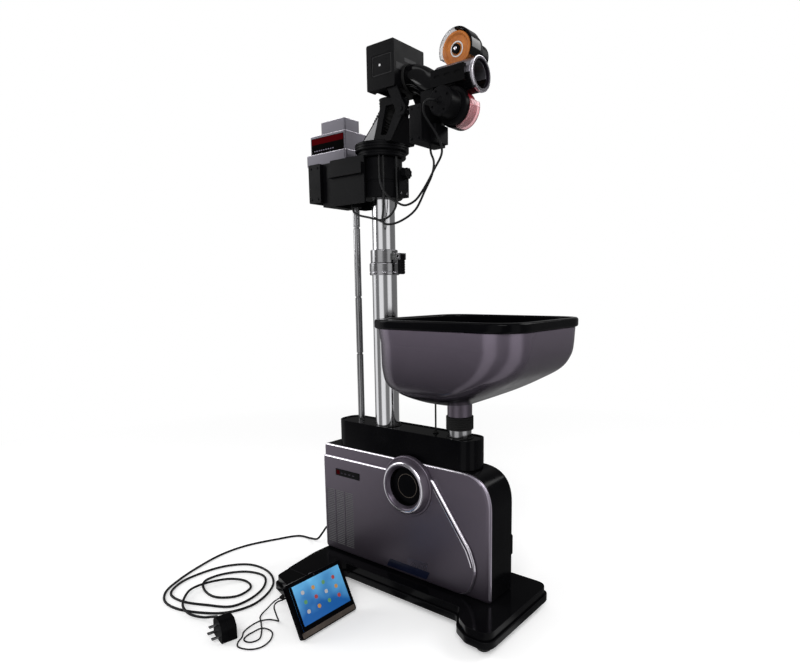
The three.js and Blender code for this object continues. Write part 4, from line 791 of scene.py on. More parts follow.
def make_mast(looks):
    lower, upper = Place("lower_pole"), Place("upper_pole")
    for node, pole, bore, body in (("lower_pole", lower, POLE_BORES.lower, "base"),
                                   ("upper_pole", upper, POLE_BORES.upper, "mast_top")):
        dress(node, pipe("z", pole.x1, bore, pole.z0, pole.z1, 0, 0, ROUND), body, looks.chrome)

    c = CLAMP
    collar = Place("clamp_collar")
    foot, bore, inner, top = collar.z0, lower.x1 + SEAT, upper.x1 + SEAT, lower.z1 + SEAT
    ring = lathe([(bore, foot, NICK), (c.wide, foot, 1), *groove(c.wide, 0.8, 0.6, foot + 5, foot + 7.6),
                  (c.wide, c.step - 1), (c.wide - 1, c.step), (c.narrow + 0.6, c.step + 0.4),
                  (c.narrow, c.step + 1.2), (c.narrow, collar.z1, 1.2), (inner, collar.z1, NICK),
                  (inner, top), (bore, top)], "z", 0, 0, ROUND)
    ears = cut(block(lower.x1 + 1.5, c.ear_x, -c.ear, c.ear, c.ear_bottom, c.ear_top),
               block(c.narrow + 3, c.ear_x + OVER, -c.lever - 0.6, c.lever + 0.6, c.ear_bottom - OVER,
                     c.ear_top + OVER),
               rod("z", bore, c.ear_bottom - OVER, top, 0, 0, ROUND))
    pin_z = (c.ear_bottom + c.ear_top) / 2
    solid = cut(fused(ring, ears), rod("y", c.pin + SEAT, -c.ear - OVER, c.ear + OVER, c.pivot_x, pin_z, 24))
    # Painted highlight: the collar's bevels take the bright metal.
    dress("clamp_collar", solid, "base", looks.steel, 0.5, 2, edge=looks.edge)
    foot = Place("clamp_lever").z0
    bar = slab("y", c.in_x, c.out_x, foot, c.ear_top, -c.lever, c.lever, 4.4)
    grips = [block(c.out_x - 1, c.out_x + OVER, -c.lever - OVER, c.lever + OVER, z, z + 1.6)
             for z in range(round(foot) + 6, round(foot) + 28, 5)]
    lever = together(cut(bar, together(*grips)), rod("y", c.pin, -c.ear, c.ear, c.pivot_x, pin_z, 32))
    dress("clamp_lever", lever, "clamp_lever", looks.black, 0.9)

    r, side = ROD, Place("side_rod")
    wide = side.radius
    notches = [groove(wide, r.notch, r.length / 4, z - r.length / 2, z + r.length / 2) for z in r.places]
    profile = [(0, side.z0), (wide - r.notch, side.z0), (wide, side.z0 + r.notch), *sum(notches, []),
               (wide, side.z1, 0.5), (0, side.z1)]
    dress("side_rod", lathe(profile, "z", side.x, 0, 48), "mast_top", looks.steel)


# Hopper
HOPPER = Sizes(neck=24.2, collar_top=391, left=72.2, right=383.8, half=138, brim=563.8, wall=3, corner=61.8,
               steps=14, tube=23, bore=21.3, collar=26.8, ribs=6, rib=0.9)
RIM = Sizes(corner=60, bevel=4.4, wall=14)
LEVEL_SHARES = ((1, 1, 1, 1), (0.82, 0.95, 0.993, 0.988), (0.66, 0.938, 0.964, 0.995),
                (0.48, 0.917, 0.848, 0.994), (0.31, 0.84, 0.592, 0.96), (0.19, 0.646, 0.387, 0.809),
                (0.1, 0.433, 0.209, 0.556), (0.035, 0.218, 0.073, 0.28), (0, 0, 0, 0))


def bowl_ring(x, shares, inset):
    h = HOPPER
    height, left_share, right_share, half_share = shares
    floor = h.collar_top + h.neck
    z = floor + (h.brim - floor) * height - (SEAT if height == 1 else 0)
    radius = h.neck - inset
    left = x - radius - (x - h.left - h.neck) * left_share
    right = x + radius + (h.right - x - h.neck) * right_share
    half = radius + (h.half - h.neck) * half_share
    corner = min(radius + (h.corner - h.neck) * half_share, half, (right - left) / 2)
    ring = []
    centres = ((right - corner, half - corner), (left + corner, half - corner),
               (left + corner, corner - half), (right - corner, corner - half))
    for quarter, (cx, cy) in enumerate(centres):
        for i in range(h.steps + 1):
            angle = (quarter + i / h.steps) * TAU / 4
            ring.append((cx + corner * math.cos(angle), cy + corner * math.sin(angle), z))
    return ring


def smooth_shares(levels, count):
    """Levels between the given ones, on a smooth curve."""
    made = []
    padded = [levels[0], *levels, levels[-1]]
    for a, b, c, d in zip(padded, padded[1:], padded[2:], padded[3:]):
        for k in range(count):
            t = k / count
            made.append(tuple(0.5 * (2 * q + (r - p) * t + (2 * p - 5 * q + 4 * r - s) * t * t
                                     + (3 * q - p - 3 * r + s) * t ** 3) for p, q, r, s in zip(a, b, c, d)))
    made.append(levels[-1])
    return made


def make_hopper(looks):
    h = HOPPER
    bowl, rim = Place("hopper_bowl"), Place("hopper_rim")
    tube, coupling = Place("hopper_tube"), Place("hopper_coupling")
    levels = [LEVEL_SHARES[0], *smooth_shares(LEVEL_SHARES[1:], 6)]

    def wall(inset):
        rings = [bowl_ring(tube.x, level, inset) for level in levels]
        return [*rings, [(px, py, bowl.z0) for px, py, pz in rings[-1]]]
    outer = wall(0)
    tub = dress("hopper_bowl", skin(outer + wall(h.wall)[::-1], True), "hopper", looks.bowl, angle=50)
    second_look(tub, looks.purple, lambda spot, normal: spot.z < outer[-2][0][2])

    r = RIM
    room = slab("z", rim.x0 + r.wall, rim.x1 - r.wall, rim.y0 + r.wall, rim.y1 - r.wall, rim.z0 - OVER,
                rim.z1 + OVER, r.corner - r.wall / 2, 14)
    ring = cut(slab("z", rim.x0, rim.x1, rim.y0, rim.y1, rim.z0, rim.z1, r.corner, 14), room)
    dress("hopper_rim", ring, "hopper", looks.gloss, r.bevel, 5)

    step = (coupling.z1 - coupling.z0) / h.ribs
    profile = [(h.tube + SEAT, coupling.z0)]
    for i in range(h.ribs):
        z = coupling.z0 + i * step
        profile += [(h.collar - h.rib, z + step * 0.02), (h.collar, z + step * 0.2),
                    (h.collar, z + step * 0.75), (h.collar - h.rib, z + step * 0.95)]
    profile += [(h.collar - 1.6, coupling.z1), (h.neck + SEAT, coupling.z1), (h.neck + SEAT, tube.z1),
                (h.tube + SEAT, tube.z1)]
    dress("hopper_coupling", lathe(profile, "z", tube.x, 0, ROUND), "hopper", looks.rubber)
    dress("hopper_tube", pipe("z", h.tube, h.bore, tube.z0, tube.z1, tube.x, 0, ROUND), "base", looks.steel)


# Mast head, bracket and receiver box
HEAD = Sizes(radius=40, bore=21.2, ear_front=-4, ear_back=26, ear_depth=7, ear_top=874, seam=845, seam_high=5)
KNOB = Sizes(radius=11, lobes=8, lobe=1.6, lobe_steps=12, stem=4, length=12)
BRACKET = Sizes(end_right=-136, mid_right=-101, mid_half=36, box_half=49, end_bottom=818, strip=7,
                strip_bottom=862, strip_top=883, wall=4, bevel=1.5, half=45)
RECEIVER = Sizes(flange_top=921, left=-184, right=-78, front=-26, back=38, lip=5, top=960, upper_left=-158,
                 upper_right=-86, upper_front=-18, upper_back=25, label_bottom=923, label_top=955,
                 label_left=-180, label_right=-82, stripe=13)
YOKE = Sizes(disc=48, disc_top=905, plate=54, plate_top=920, corner=12, cheek_in=29, cheek_out=35,
             foot_left=8, foot_right=54, top_left=34, top_left_z=996, top_right=104, top_right_z=986, web=4,
             stay=2, stay_top_x=34, stay_top_z=993, stay_foot_x=-32)
WINDOW = ((28, 929), (44, 929), (67, 969), (67, 981), (43, 981))
NECK = Sizes(radius=23.5, bore=21, top_x=26, top=1002, ribs=17, rib=1.5)
TILT = Sizes(x=84, z=968, pin=5, boss=12, ear=5, root_left=50, root_right=74)


def make_mast_head(looks):
    h, k = HEAD, KNOB
    head, pole, knob = Place("mast_head"), Place("upper_pole"), Place("clamp_knob")
    wide, foot, top, pole_top, bore = h.radius, head.z0, head.z1, pole.z1 + SEAT, pole.x1 + SEAT
    drum = lathe([(bore, foot + NICK), (pole.x1 + 1, foot), (wide, foot, 2),
                  *groove(wide, 1, 1, h.seam, h.seam + h.seam_high), (wide, top, 1.4), (h.bore, top),
                  (h.bore, pole_top), (bore, pole_top)], "z", 0, 0, ROUND)
    face = wide + h.ear_depth
    ear = slab("x", h.ear_front, h.ear_back, foot + 2, h.ear_top, wide - h.ear_depth, face, 3)
    seat_hole = rod("x", k.stem + SEAT, wide, face + OVER, knob.y, knob.z)
    solid = cut(fused(drum, ear), seat_hole, rod("z", bore, foot - OVER, pole_top, 0, 0, ROUND))
    dress("mast_head", solid, "mast_top", looks.black, 0.8)
    bolts = [screw_head("x", y, 824, face, 1, 2.6) for y in (2, 20)]
    piece("mast_head_screws", together(*bolts), "mast_top", looks.steel)

    start, end = face + SEAT, face + SEAT + k.length
    outline = []
    for i in range(k.lobes * k.lobe_steps):
        angle = i * TAU / (k.lobes * k.lobe_steps)
        r = k.radius - k.lobe / 2 - k.lobe / 2 * math.cos(angle * k.lobes)
        outline.append((knob.y + r * math.cos(angle), knob.z + r * math.sin(angle)))
    ring = pipe("x", k.radius * 0.5 + 0.8, k.radius * 0.5, end - 1.5, end + 2, knob.y, knob.z, 64, 0)
    stem = rod("x", k.stem, wide + SEAT, start + k.stem, knob.y, knob.z)
    handle = together(cut(prism(outline, "x", start, end), ring), stem)
    dress("clamp_knob", handle, "clamp_knob", looks.black, 0.8)
    make_bracket(looks, top)


def make_bracket(looks, drum_top):
    k = BRACKET
    b, side = Place("bracket_housing"), Place("side_rod")
    under, roof = b.z0 - OVER, b.z1 - k.wall
    end = slab("y", b.x0, k.end_right, k.end_bottom, b.z1, -k.half, k.half, k.bevel * 2)
    middle = block(k.end_right - OVER, k.mid_right + OVER, -k.mid_half, k.mid_half, b.z0 + 3, b.z1)
    main = slab("y", k.mid_right, b.x1, b.z0, b.z1, -k.box_half, k.box_half, k.bevel * 2)
    strip = block(k.mid_right, b.x1 - k.bevel, -k.box_half - k.strip, -k.box_half + OVER, k.strip_bottom,
                  k.strip_top)
    shell = cut(fused(end, middle, main, strip),
                block(b.x0 + k.wall, k.end_right - k.wall, k.wall - k.half, k.half - k.wall,
                      k.end_bottom - OVER, roof),
                block(k.mid_right + k.wall, b.x1 + OVER, k.wall - k.box_half, k.box_half - k.wall, under,
                      roof))
    sleeve = rod("z", side.radius + k.wall, b.z0, roof + 1.5, side.x, 0)
    solid = cut(fused(shell, sleeve), rod("z", side.radius + SEAT, under, side.z1 + SEAT, side.x, 0),
                rod("z", HEAD.radius + SEAT, under, b.z1 + OVER, 0, 0, ROUND),
                rod("z", YOKE.disc + 2 * SEAT, drum_top - SEAT, b.z1 + OVER, 0, 0, ROUND))
    dress("bracket_housing", solid, "mast_top", looks.black, 0.9)
    heads = [screw_head("y", x, z, -k.half, -1, 2.6)
             for x in (b.x0 + 8, k.end_right - 8) for z in (k.end_bottom + 8, b.z1 - 8)]
    piece("bracket_screws", together(*heads), "mast_top", looks.gloss)


def make_receiver(looks):
    r = RECEIVER
    box = Place("receiver_box")
    flange = slab("z", box.x0, box.x1, box.y0, box.y1, box.z0, r.flange_top, r.lip)
    lower = slab("z", r.left, r.right, r.front, r.back, r.flange_top - OVER, r.top, 3)
    upper = slab("z", r.upper_left, r.upper_right, r.upper_front, r.upper_back, r.top - OVER, box.z1, 3)
    slots = [block(x, x + 3, r.upper_front + 6, r.upper_back - 6, box.z1 - 1.5, box.z1 + 2)
             for x in range(-148, -96, 8)]
    # Painted highlight: the box's bevels take the bright metal.
    dress("receiver_box", cut(fused(flange, lower, upper), together(*slots)), "mast_top", looks.case, 1.1,
          edge=looks.edge)
    face = r.front - 0.5
    piece("receiver_label", slab("y", r.label_left, r.label_right, r.label_bottom, r.label_top, face,
                                 r.front + 1, 1.5), "mast_top", looks.ink)
    band = block(r.label_left + 1, r.label_right - 1, face - 0.15, face + 1, r.label_top - r.stripe,
                 r.label_top - 1)
    piece("receiver_label_band", band, "mast_top", looks.label)
    ticks = [block(x, x + 4, face - 0.2, face + 1, r.label_bottom + 5, r.label_bottom + 6.6)
             for x in range(r.label_left + 8, r.label_right - 30, 7)]
    piece("receiver_label_ticks", together(*ticks), "mast_top", looks.plate)
    heads = [screw_head("z", x, y, r.flange_top, 1, 2.2, 1.1)
             for x in (box.x0 + 4.5, box.x1 - 3.5) for y in (box.y0 + 4, box.y1 - 4)]
    piece("receiver_screws", together(*heads), "mast_top", looks.steel)


def make_yoke(looks):
    y, t, n = YOKE, TILT, NECK
    foot, base, seat = Place("head_yoke").z0, y.disc_top, y.plate_top - OVER
    disc = lathe([(0, foot), (y.disc, foot, 2), *groove(y.disc, 1, 0.6, foot + 4, foot + 6.6),
                  (y.disc, base + 1), (0, base + 1)], "z", 0, 0, ROUND)
    plate = lathe([(0, base), (y.plate, base, 1.2), *groove(y.plate, 1.2, 0.4, base + 4, base + 5.6),
                   *groove(y.plate, 1.2, 0.4, base + 9, base + 10.6), (y.plate, y.plate_top, 1.2),
                   (0, y.plate_top)], "z", 0, 0, ROUND)
    web = [(y.foot_right - y.web, seat), (y.foot_right, seat), (t.x, t.z - y.corner),
           (t.x - y.web, t.z - y.corner)]
    parts = [plate, prism(web, "y", -y.cheek_in - 2, y.cheek_in + 2)]
    outline = rounded([(y.foot_left, seat), (y.foot_right, seat), (y.top_right, y.top_right_z, y.corner),
                       (y.top_left, y.top_left_z, y.corner / 2)])
    for side in (-1, 1):
        near, far = sorted((side * y.cheek_in, side * y.cheek_out))
        parts.append(cut(prism(outline, "y", near, far),
                         prism(rounded(WINDOW, 3), "y", near - OVER, far + OVER)))
    ramp = sweep([(y.stay_foot_x, -y.cheek_in, seat),
                  (y.stay_top_x + y.corner / 2, -y.cheek_in, y.stay_top_z - y.corner / 2)], y.stay, 16)
    reach = y.cheek_out + SEAT + t.ear + 1.5
    pin = rod("y", t.pin, -reach, reach, t.x, t.z, 32)
    hole = rod("z", n.bore, foot - OVER, y.plate_top + OVER, 0, 0, 64)
    dress("head_yoke", cut(fused(disc, *parts, ramp, pin), hole), "turntable", looks.black, 0.9)
    gusset = prism([(y.stay_foot_x + 4, y.plate_top - 1), (y.foot_left + 6, y.plate_top - 1),
                    (y.top_left + 3, y.top_left_z - 8)], "y", -y.cheek_in - 1.6, -y.cheek_in - 0.6)
    piece("head_yoke_sheet", gusset, "turntable", looks.sheet)
    bolts = [screw_head("z", x, side * across, y.plate_top, 1, 3)
             for x, across in ((-36, 22), (44, 16)) for side in (-1, 1)]
    piece("head_yoke_screws", together(*bolts), "turntable", looks.gloss)

    rise = smooth([(0, 0, y.plate_top + SEAT), (0, 0, y.plate_top + n.radius),
                   (n.top_x / 2, 0, (y.plate_top + n.top) / 2), (n.top_x, 0, n.top - n.radius),
                   (n.top_x, 0, n.top)], 0.6)

    def ribbed(share):
        return n.radius - n.rib * (0.5 - 0.5 * math.cos(share * n.ribs * TAU))
    dress("neck_tube", sweep(rise, ribbed, 48, n.bore), "turntable", looks.rubber, angle=60)


# Head box, elbow and ball tube
BOX = Sizes(wall=3, left=4, right=74, half=44, bottom=1010, panel=1.2, panel_left=17, panel_right=67,
            panel_bottom=1034, panel_top=1071, dot_x=37, dot_z=1053, dot=2.2, seam=1030)
PRINTS = ((-39, 39, 1041, 1053), (-15, 20, 1059, 1066))
BARREL = Sizes(z=1006, radius=28.8, bore=23.4, left=150, right=231, muzzle=237.5, ring=30)
ELBOW = Sizes(radius=25, bore=21.6, start_z=1030, cuff=2.2, cuff_long=6, steps=28)
RAIL = Sizes(slots=(158, 180, 202), slot=14, slot_half=4)
HANGER = Sizes(left=122, right=150, front=-62, back=12, bottom=896.5, top=960, neck_front=-27, neck_top=992,
               step=11, step_front=-34, step_back=6, step_top=930)


def elbow_points():
    start, end = BOX.right + SEAT, BARREL.left - SEAT
    middle = (start + end + SEAT) / 2
    a, b, c, d = (Vector((x, 0, z)) for x, z in ((start, ELBOW.start_z), (middle, ELBOW.start_z),
                                                 (middle, BARREL.z), (end, BARREL.z)))
    shares = [i / ELBOW.steps for i in range(ELBOW.steps + 1)]
    return [a * (1 - t) ** 3 + b * 3 * t * (1 - t) ** 2 + c * 3 * t * t * (1 - t) + d * t ** 3
            for t in shares]


def make_head(looks):
    make_head_box(looks)
    make_barrel(looks)
    make_hanger(looks)


def make_head_box(looks):
    b, t = BOX, TILT
    top, wall_out, wall_in, face = Place("head_box").z1, b.right + OVER, b.right - b.wall, b.panel - b.half
    shell = slab("y", b.left, b.right, b.bottom, top, -b.half, b.half, 4)
    room = block(b.left + b.wall, wall_in, b.wall - b.half, b.half - b.wall, b.bottom + b.wall, top - b.wall)
    ears = []
    for side in (-1, 1):
        inner = YOKE.cheek_out + SEAT
        near, far = sorted((side * inner, side * (inner + t.ear)))
        web = prism([(t.root_left, b.bottom + b.wall), (t.x - t.boss, t.z), (t.x + t.boss, t.z),
                     (t.root_right, b.bottom + b.wall)], "y", near, far)
        ears.append(fused(web, rod("y", t.boss, near, far, t.x, t.z)))

    def panel(inset, start, end, radius):
        return slab("y", b.panel_left + inset, b.panel_right - inset, b.panel_bottom + inset,
                    b.panel_top - inset, start, end, radius)
    solid = cut(fused(cut(shell, room), *ears), panel(0, -b.half - OVER, face, 2),
                rod("z", NECK.radius + 7, b.bottom - OVER, b.bottom + b.wall + OVER, NECK.top_x, 0),
                rod("x", ELBOW.bore, wall_in - OVER, wall_out, 0, ELBOW.start_z),
                rod("y", t.pin + SEAT, -b.half, b.half, t.x, t.z),
                block(b.left - OVER, b.left + 0.5, -b.half - OVER, b.half + OVER, b.seam, b.seam + 1.2))
    dress("head_box", solid, "head", looks.black, 1.1)
    frame_line = cut(panel(1, face - 0.5, face + 1, 1.5), panel(2.4, face - 2, face + 2, 1))
    piece("head_panel_line", frame_line, "head", looks.graphite)
    lens = rod("y", b.dot, face - 0.8, face + 0.5, b.dot_x, b.dot_z, 32)
    piece("head_panel_lens", lens, "head", looks.pale)
    strips = together(*[slab("x", *place, b.right - 0.5, b.right + SEAT, 1.5) for place in PRINTS])
    collar = rod("x", ELBOW.radius + 1, b.right - OVER, wall_out, 0, ELBOW.start_z, 64)
    piece("head_print_strips", cut(strips, collar), "head", looks.graphite)


def make_barrel(looks):
    r, e, w = BARREL, ELBOW, WHEEL
    dress("feed_elbow", sweep(elbow_points(), e.radius, 64, e.bore), "head", looks.wet)
    cuff = pipe("x", e.radius + e.cuff, e.radius + 0.05, BOX.right + 1, BOX.right + 1 + e.cuff_long, 0,
                e.start_z)
    piece("feed_elbow_cuff", cuff, "head", looks.rubber)

    tube = lathe([(r.bore, r.left, NICK), (r.radius, r.left, 1),
                  *groove(r.radius, 0.8, 0.8, r.left + 5, r.left + 8), (r.radius, r.right, 1),
                  (r.bore, r.right, NICK)], "x", 0, r.z, ROUND)
    gaps = [rod("y", w.radius + w.play, -w.half - w.play, w.half + w.play, w.x, Place(node).z, ROUND)
            for node in ("upper_wheel", "lower_wheel")]
    barrel = dress("ball_tube", cut(tube, *gaps), "head", looks.silver, 0.5, 2)
    # Painted shade: the lower half of the tube takes the wet black.
    second_look(barrel, looks.wet, lambda spot, normal: spot.z < r.z - 2)
    ring = lathe([(r.bore, r.right + SEAT), (r.ring - 1, r.right + SEAT), (r.ring, r.right + 1.4),
                  (r.ring, r.muzzle - 1.4), (r.ring - 0.6, r.muzzle - 0.4), (r.ring - 1.6, r.muzzle),
                  (r.bore + 1.6, r.muzzle), (r.bore + 0.5, r.muzzle - 0.5), (r.bore, r.muzzle - 1.4)],
                 "x", 0, r.z, 128)
    muzzle = dress("muzzle_ring", ring, "head", looks.edge)
    second_look(muzzle, looks.groove, lambda spot, normal: math.hypot(spot.y, spot.z - r.z) < r.ring - 2.6)


def make_hanger(looks):
    h, r, s = HANGER, BARREL, RAIL
    rail = Place("side_rail")
    bar = slab("y", rail.x0, rail.x1, rail.z0, rail.z1, rail.y0, rail.y1, 2.5)
    slots = [slab("y", x, x + s.slot, rail.z - s.slot_half, rail.z + s.slot_half, rail.y0 - OVER,
                  rail.y0 + 1.5, 3.6)
             for x in s.slots]
    dress("side_rail", cut(bar, *slots), "head", looks.wet, 0.6)

    hang = slab("z", h.left, h.right, h.front, h.back, h.bottom, h.top, 3)
    stem = block(h.left, h.right, h.neck_front, h.back, h.top - OVER, h.neck_top)
    step = slab("z", h.right - 6, h.right + h.step, h.step_front, h.step_back, h.bottom + 3, h.step_top, 3)
    solid = cut(fused(hang, stem, step), sweep(elbow_points(), ELBOW.radius + SEAT, 64),
                rod("x", r.radius + SEAT, r.left - OVER, r.right, 0, r.z, ROUND))
    dress("motor_box", solid, "head", looks.black, 1.2)
    heads = [screw_head("y", x, z, h.front, -1, 2.4)
             for x in (h.left + 6, h.right - 6) for z in (h.bottom + 6, h.top - 6)]
    piece("motor_box_screws", together(*heads), "head", looks.black)


# Wheels with their motors and guards
WHEEL = Sizes(x=190, radius=30, half=11, hub=8, hub_proud=2, dish=3, dish_rim=7, play=1.5, shaft=3, grooves=5)
GUARD = Sizes(bore=32.5, radius=36, half=12.6, plate=2, upper=(-28, 200), lower=(-205, 12), steps=72, split=2)
MOTOR = Sizes(shroud=33, shroud_depth=13, can=25, length=32, edge=2, holes=4, hole=2.3, hole_ring=18)


def make_drive(name, side, span, wheel_look, guard_look, looks):
    """side is the sign of Y on which the motor sits."""
    z = Place(f"{name}_wheel").z
    shroud_in = GUARD.half + GUARD.plate
    make_wheel(name, side, z, wheel_look, looks)
    make_motor(name, side, z, shroud_in, looks)
    make_guard(name, side, z, span, guard_look, looks)


def make_wheel(name, side, z, look, looks):
    w = WHEEL
    face, rim, hole = -w.half, w.radius, w.shaft + SEAT
    dish, tip = face + w.dish, face - w.hub_proud

    def turned(profile, steps):
        return lathe([(point[0], side * point[1], *point[2:]) for point in profile], "y", w.x, z, steps)
    pitch = (2 * w.half - 3) / w.grooves
    starts = [face + 1.5 + (i + 0.35) * pitch for i in range(w.grooves)]
    tread = sum([groove(rim, 0.9, 0.3, start, start + 1.2) for start in starts], [])
    disc = turned([(hole, tip), (w.hub, tip, 0.5), (w.hub, dish), (rim - w.dish_rim, dish),
                   (rim - w.dish_rim + w.dish, face), (rim - 1.5, face), (rim - 0.5, face + 0.4),
                   (rim, face + 1.5), *tread, (rim, w.half - 1.5), (rim - 0.5, w.half - 0.4),
                   (rim - 1.5, w.half), (hole, w.half)], ROUND)
    dress(f"{name}_wheel", disc, f"{name}_wheel", look)
    ring = [(w.hub + 3, dish + 0.1), (w.hub + 5.4, dish + 0.1), (w.hub + 5.4, dish - 0.5),
            (w.hub + 4.8, dish - 0.9), (w.hub + 3.4, dish - 0.9), (w.hub + 3, dish - 0.5)]
    sleeve = [(hole, tip + 0.3), (hole, tip - 0.1), (w.hub - 0.4, tip - 0.1), (w.hub + 0.1, tip + 0.5),
              (w.hub + 0.1, dish - 0.1), (w.hub - 0.2, dish - 0.1), (w.hub - 0.2, tip + 0.3)]
    nut = [(0, tip + 1), (w.shaft, tip + 1), (w.shaft, tip - 0.6), (w.shaft - 0.8, tip - 1.2), (0, tip - 1.4)]
    for part, profile, steps, finish in (("ring", ring, 64, looks.pale), ("sleeve", sleeve, 64, looks.black),
                                         ("nut", nut, 32, looks.edge)):
        piece(f"{name}_wheel_{part}", turned(profile, steps), f"{name}_wheel", finish)


def make_motor(name, side, z, start, looks):
    w, m, r = WHEEL, MOTOR, BARREL
    can_in = start + m.shroud_depth
    can_out = can_in + m.length
    profile = [(0, -w.half), (w.shaft, -w.half), (w.shaft, start), (m.shroud, start, 1),
               (m.shroud, can_in, 1.5), (m.can, can_in), *groove(m.can, 0.8, 0.6, can_in + 4, can_in + 6.6),
               (m.can, can_out, m.edge), (7, can_out), (6, can_out - 1), (0, can_out - 1)]
    drive = lathe([(point[0], side * point[1], *point[2:]) for point in profile], "y", w.x, z, ROUND)
    tube = rod("x", r.radius + SEAT, r.left - OVER, r.right + 6, 0, r.z, ROUND)
    beside = block(r.left, r.right, *sorted((side * (start - SEAT), side * (can_out + OVER))),
                   r.z - r.radius - OVER, r.z + r.radius + OVER)
    deep = sorted((side * (can_out - 1.5), side * (can_out + OVER)))
    spots = [TAU * (i + 0.3) / m.holes for i in range(m.holes)]
    holes = [rod("y", m.hole, *deep, w.x + m.hole_ring * math.cos(spot), z + m.hole_ring * math.sin(spot), 20)
             for spot in spots]
    dress(f"{name}_motor", cut(drive, boolean("INTERSECT", tube, beside), *holes), "head", looks.black, 0.4,
          2)


def make_guard(name, side, z, span, look, looks):
    w, g, r = WHEEL, GUARD, BARREL
    start, end = span
    rail = Place("side_rail")

    def arc(radius, first, last):
        angles = [math.radians(first + (last - first) * i / g.steps) for i in range(g.steps + 1)]
        return [(w.x + radius * math.cos(angle), z + radius * math.sin(angle)) for angle in angles]
    plate_in = g.half - SEAT
    plate_out = plate_in + g.plate
    band = prism([*arc(g.radius, start, end), *arc(g.bore, end, start)], "y", -g.half, g.half)
    flat = prism(arc(g.radius, start, end), "y", *sorted((side * plate_in, side * plate_out)))
    solid = cut(fused(band, flat), rod("y", w.shaft + 2 * SEAT, -plate_out - OVER, plate_out + OVER, w.x, z),
                rod("x", r.radius + SEAT, r.left - OVER, r.right + 6, 0, r.z, ROUND),
                rod("x", r.ring + SEAT, r.right, r.muzzle + SEAT, 0, r.z, ROUND),
                block(rail.x0 - SEAT, rail.x1 + SEAT, rail.y0 - SEAT, OVER - r.radius, rail.z0 - SEAT,
                      rail.z1 + SEAT))
    split = w.x - side * g.split
    bmesh.ops.bisect_plane(solid, geom=[*solid.verts, *solid.edges, *solid.faces], plane_co=(split, 0, 0),
                           plane_no=(1, 0, 0))
    guard = dress(f"{name}_guard", solid, "head", look)
    second_look(guard, looks.wet, lambda spot, normal: side * (spot.x - split) > 0)


# Cables on the head
CABLE = 2.1
CABLE_ROUTES = {
    "head_cable_mast": [
        (-59, -30, 892.7), (-59, -30, 850), (-59, -30, 810), (-54, -31, 794), (-40, -33, 786), (-8, -34, 778),
        (22, -33, 771), (37, -27, 776), (45, -16, 792), (46, -10, 812), (43.8, -8, 835), (43.3, -7.5, 865),
        (43.3, -7.5, 892.7)],
    "head_cable_tilt": [
        (30.4, -31.4, 892.7), (30.8, -32, 862), (31.5, -33, 835), (32.5, -34.5, 810), (33, -37, 787),
        (34, -41, 770), (41, -43, 762), (55, -40, 760), (75, -34, 765), (108, -30, 783), (129, -26, 817),
        (143, -21, 847), (145, -19, 868), (138, -18, 884), (136, -18, 895.7)],
    "head_cable_motor": [
        (24.5, -36.3, 892.7), (25, -37, 865), (28.5, -38.5, 840), (39, -38.5, 822), (52, -37.5, 810),
        (67, -37, 801), (88, -36, 793), (110, -34, 799), (128, -33, 815), (154, -31, 850), (172, -30, 880),
        (168, -38, 906), (162, -56, 928), (162, -69, 941), (169, -77, 952), (178, -77, 957),
        (183.3, -70, 957.5), (184, -59.9, 957)],
}


def cord_piece(node, route, radius, body, looks, sides, step=3.0):
    """A tube swept along a smooth curve through its route."""
    points = smooth(route, step)
    thing = dress(node, sweep(points, radius, sides), body, looks.cord, angle=70)
    return thing


def make_head_cables(looks):
    for node, route in CABLE_ROUTES.items():
        thing = cord_piece(node, route, CABLE, None, looks, 16, step=2.5)
        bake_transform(thing)


# Tablet on its stand
TABLET = Sizes(x=41, near=-285, far=-148, height=102, thick=9, lean=27, bezel=7, strip=13, glass=1.2,
               corner=5, foot=1, hinge=2.6, hinge_share=0.62, stand_thick=3, stand_length=58, stand_half=34,
               lens=1.4)
ICON = Sizes(size=7.6, columns=4, rows=3, left=-266, right=-164, bottom=32, top=86, corner=3.7, side=5.5,
             foot=7)


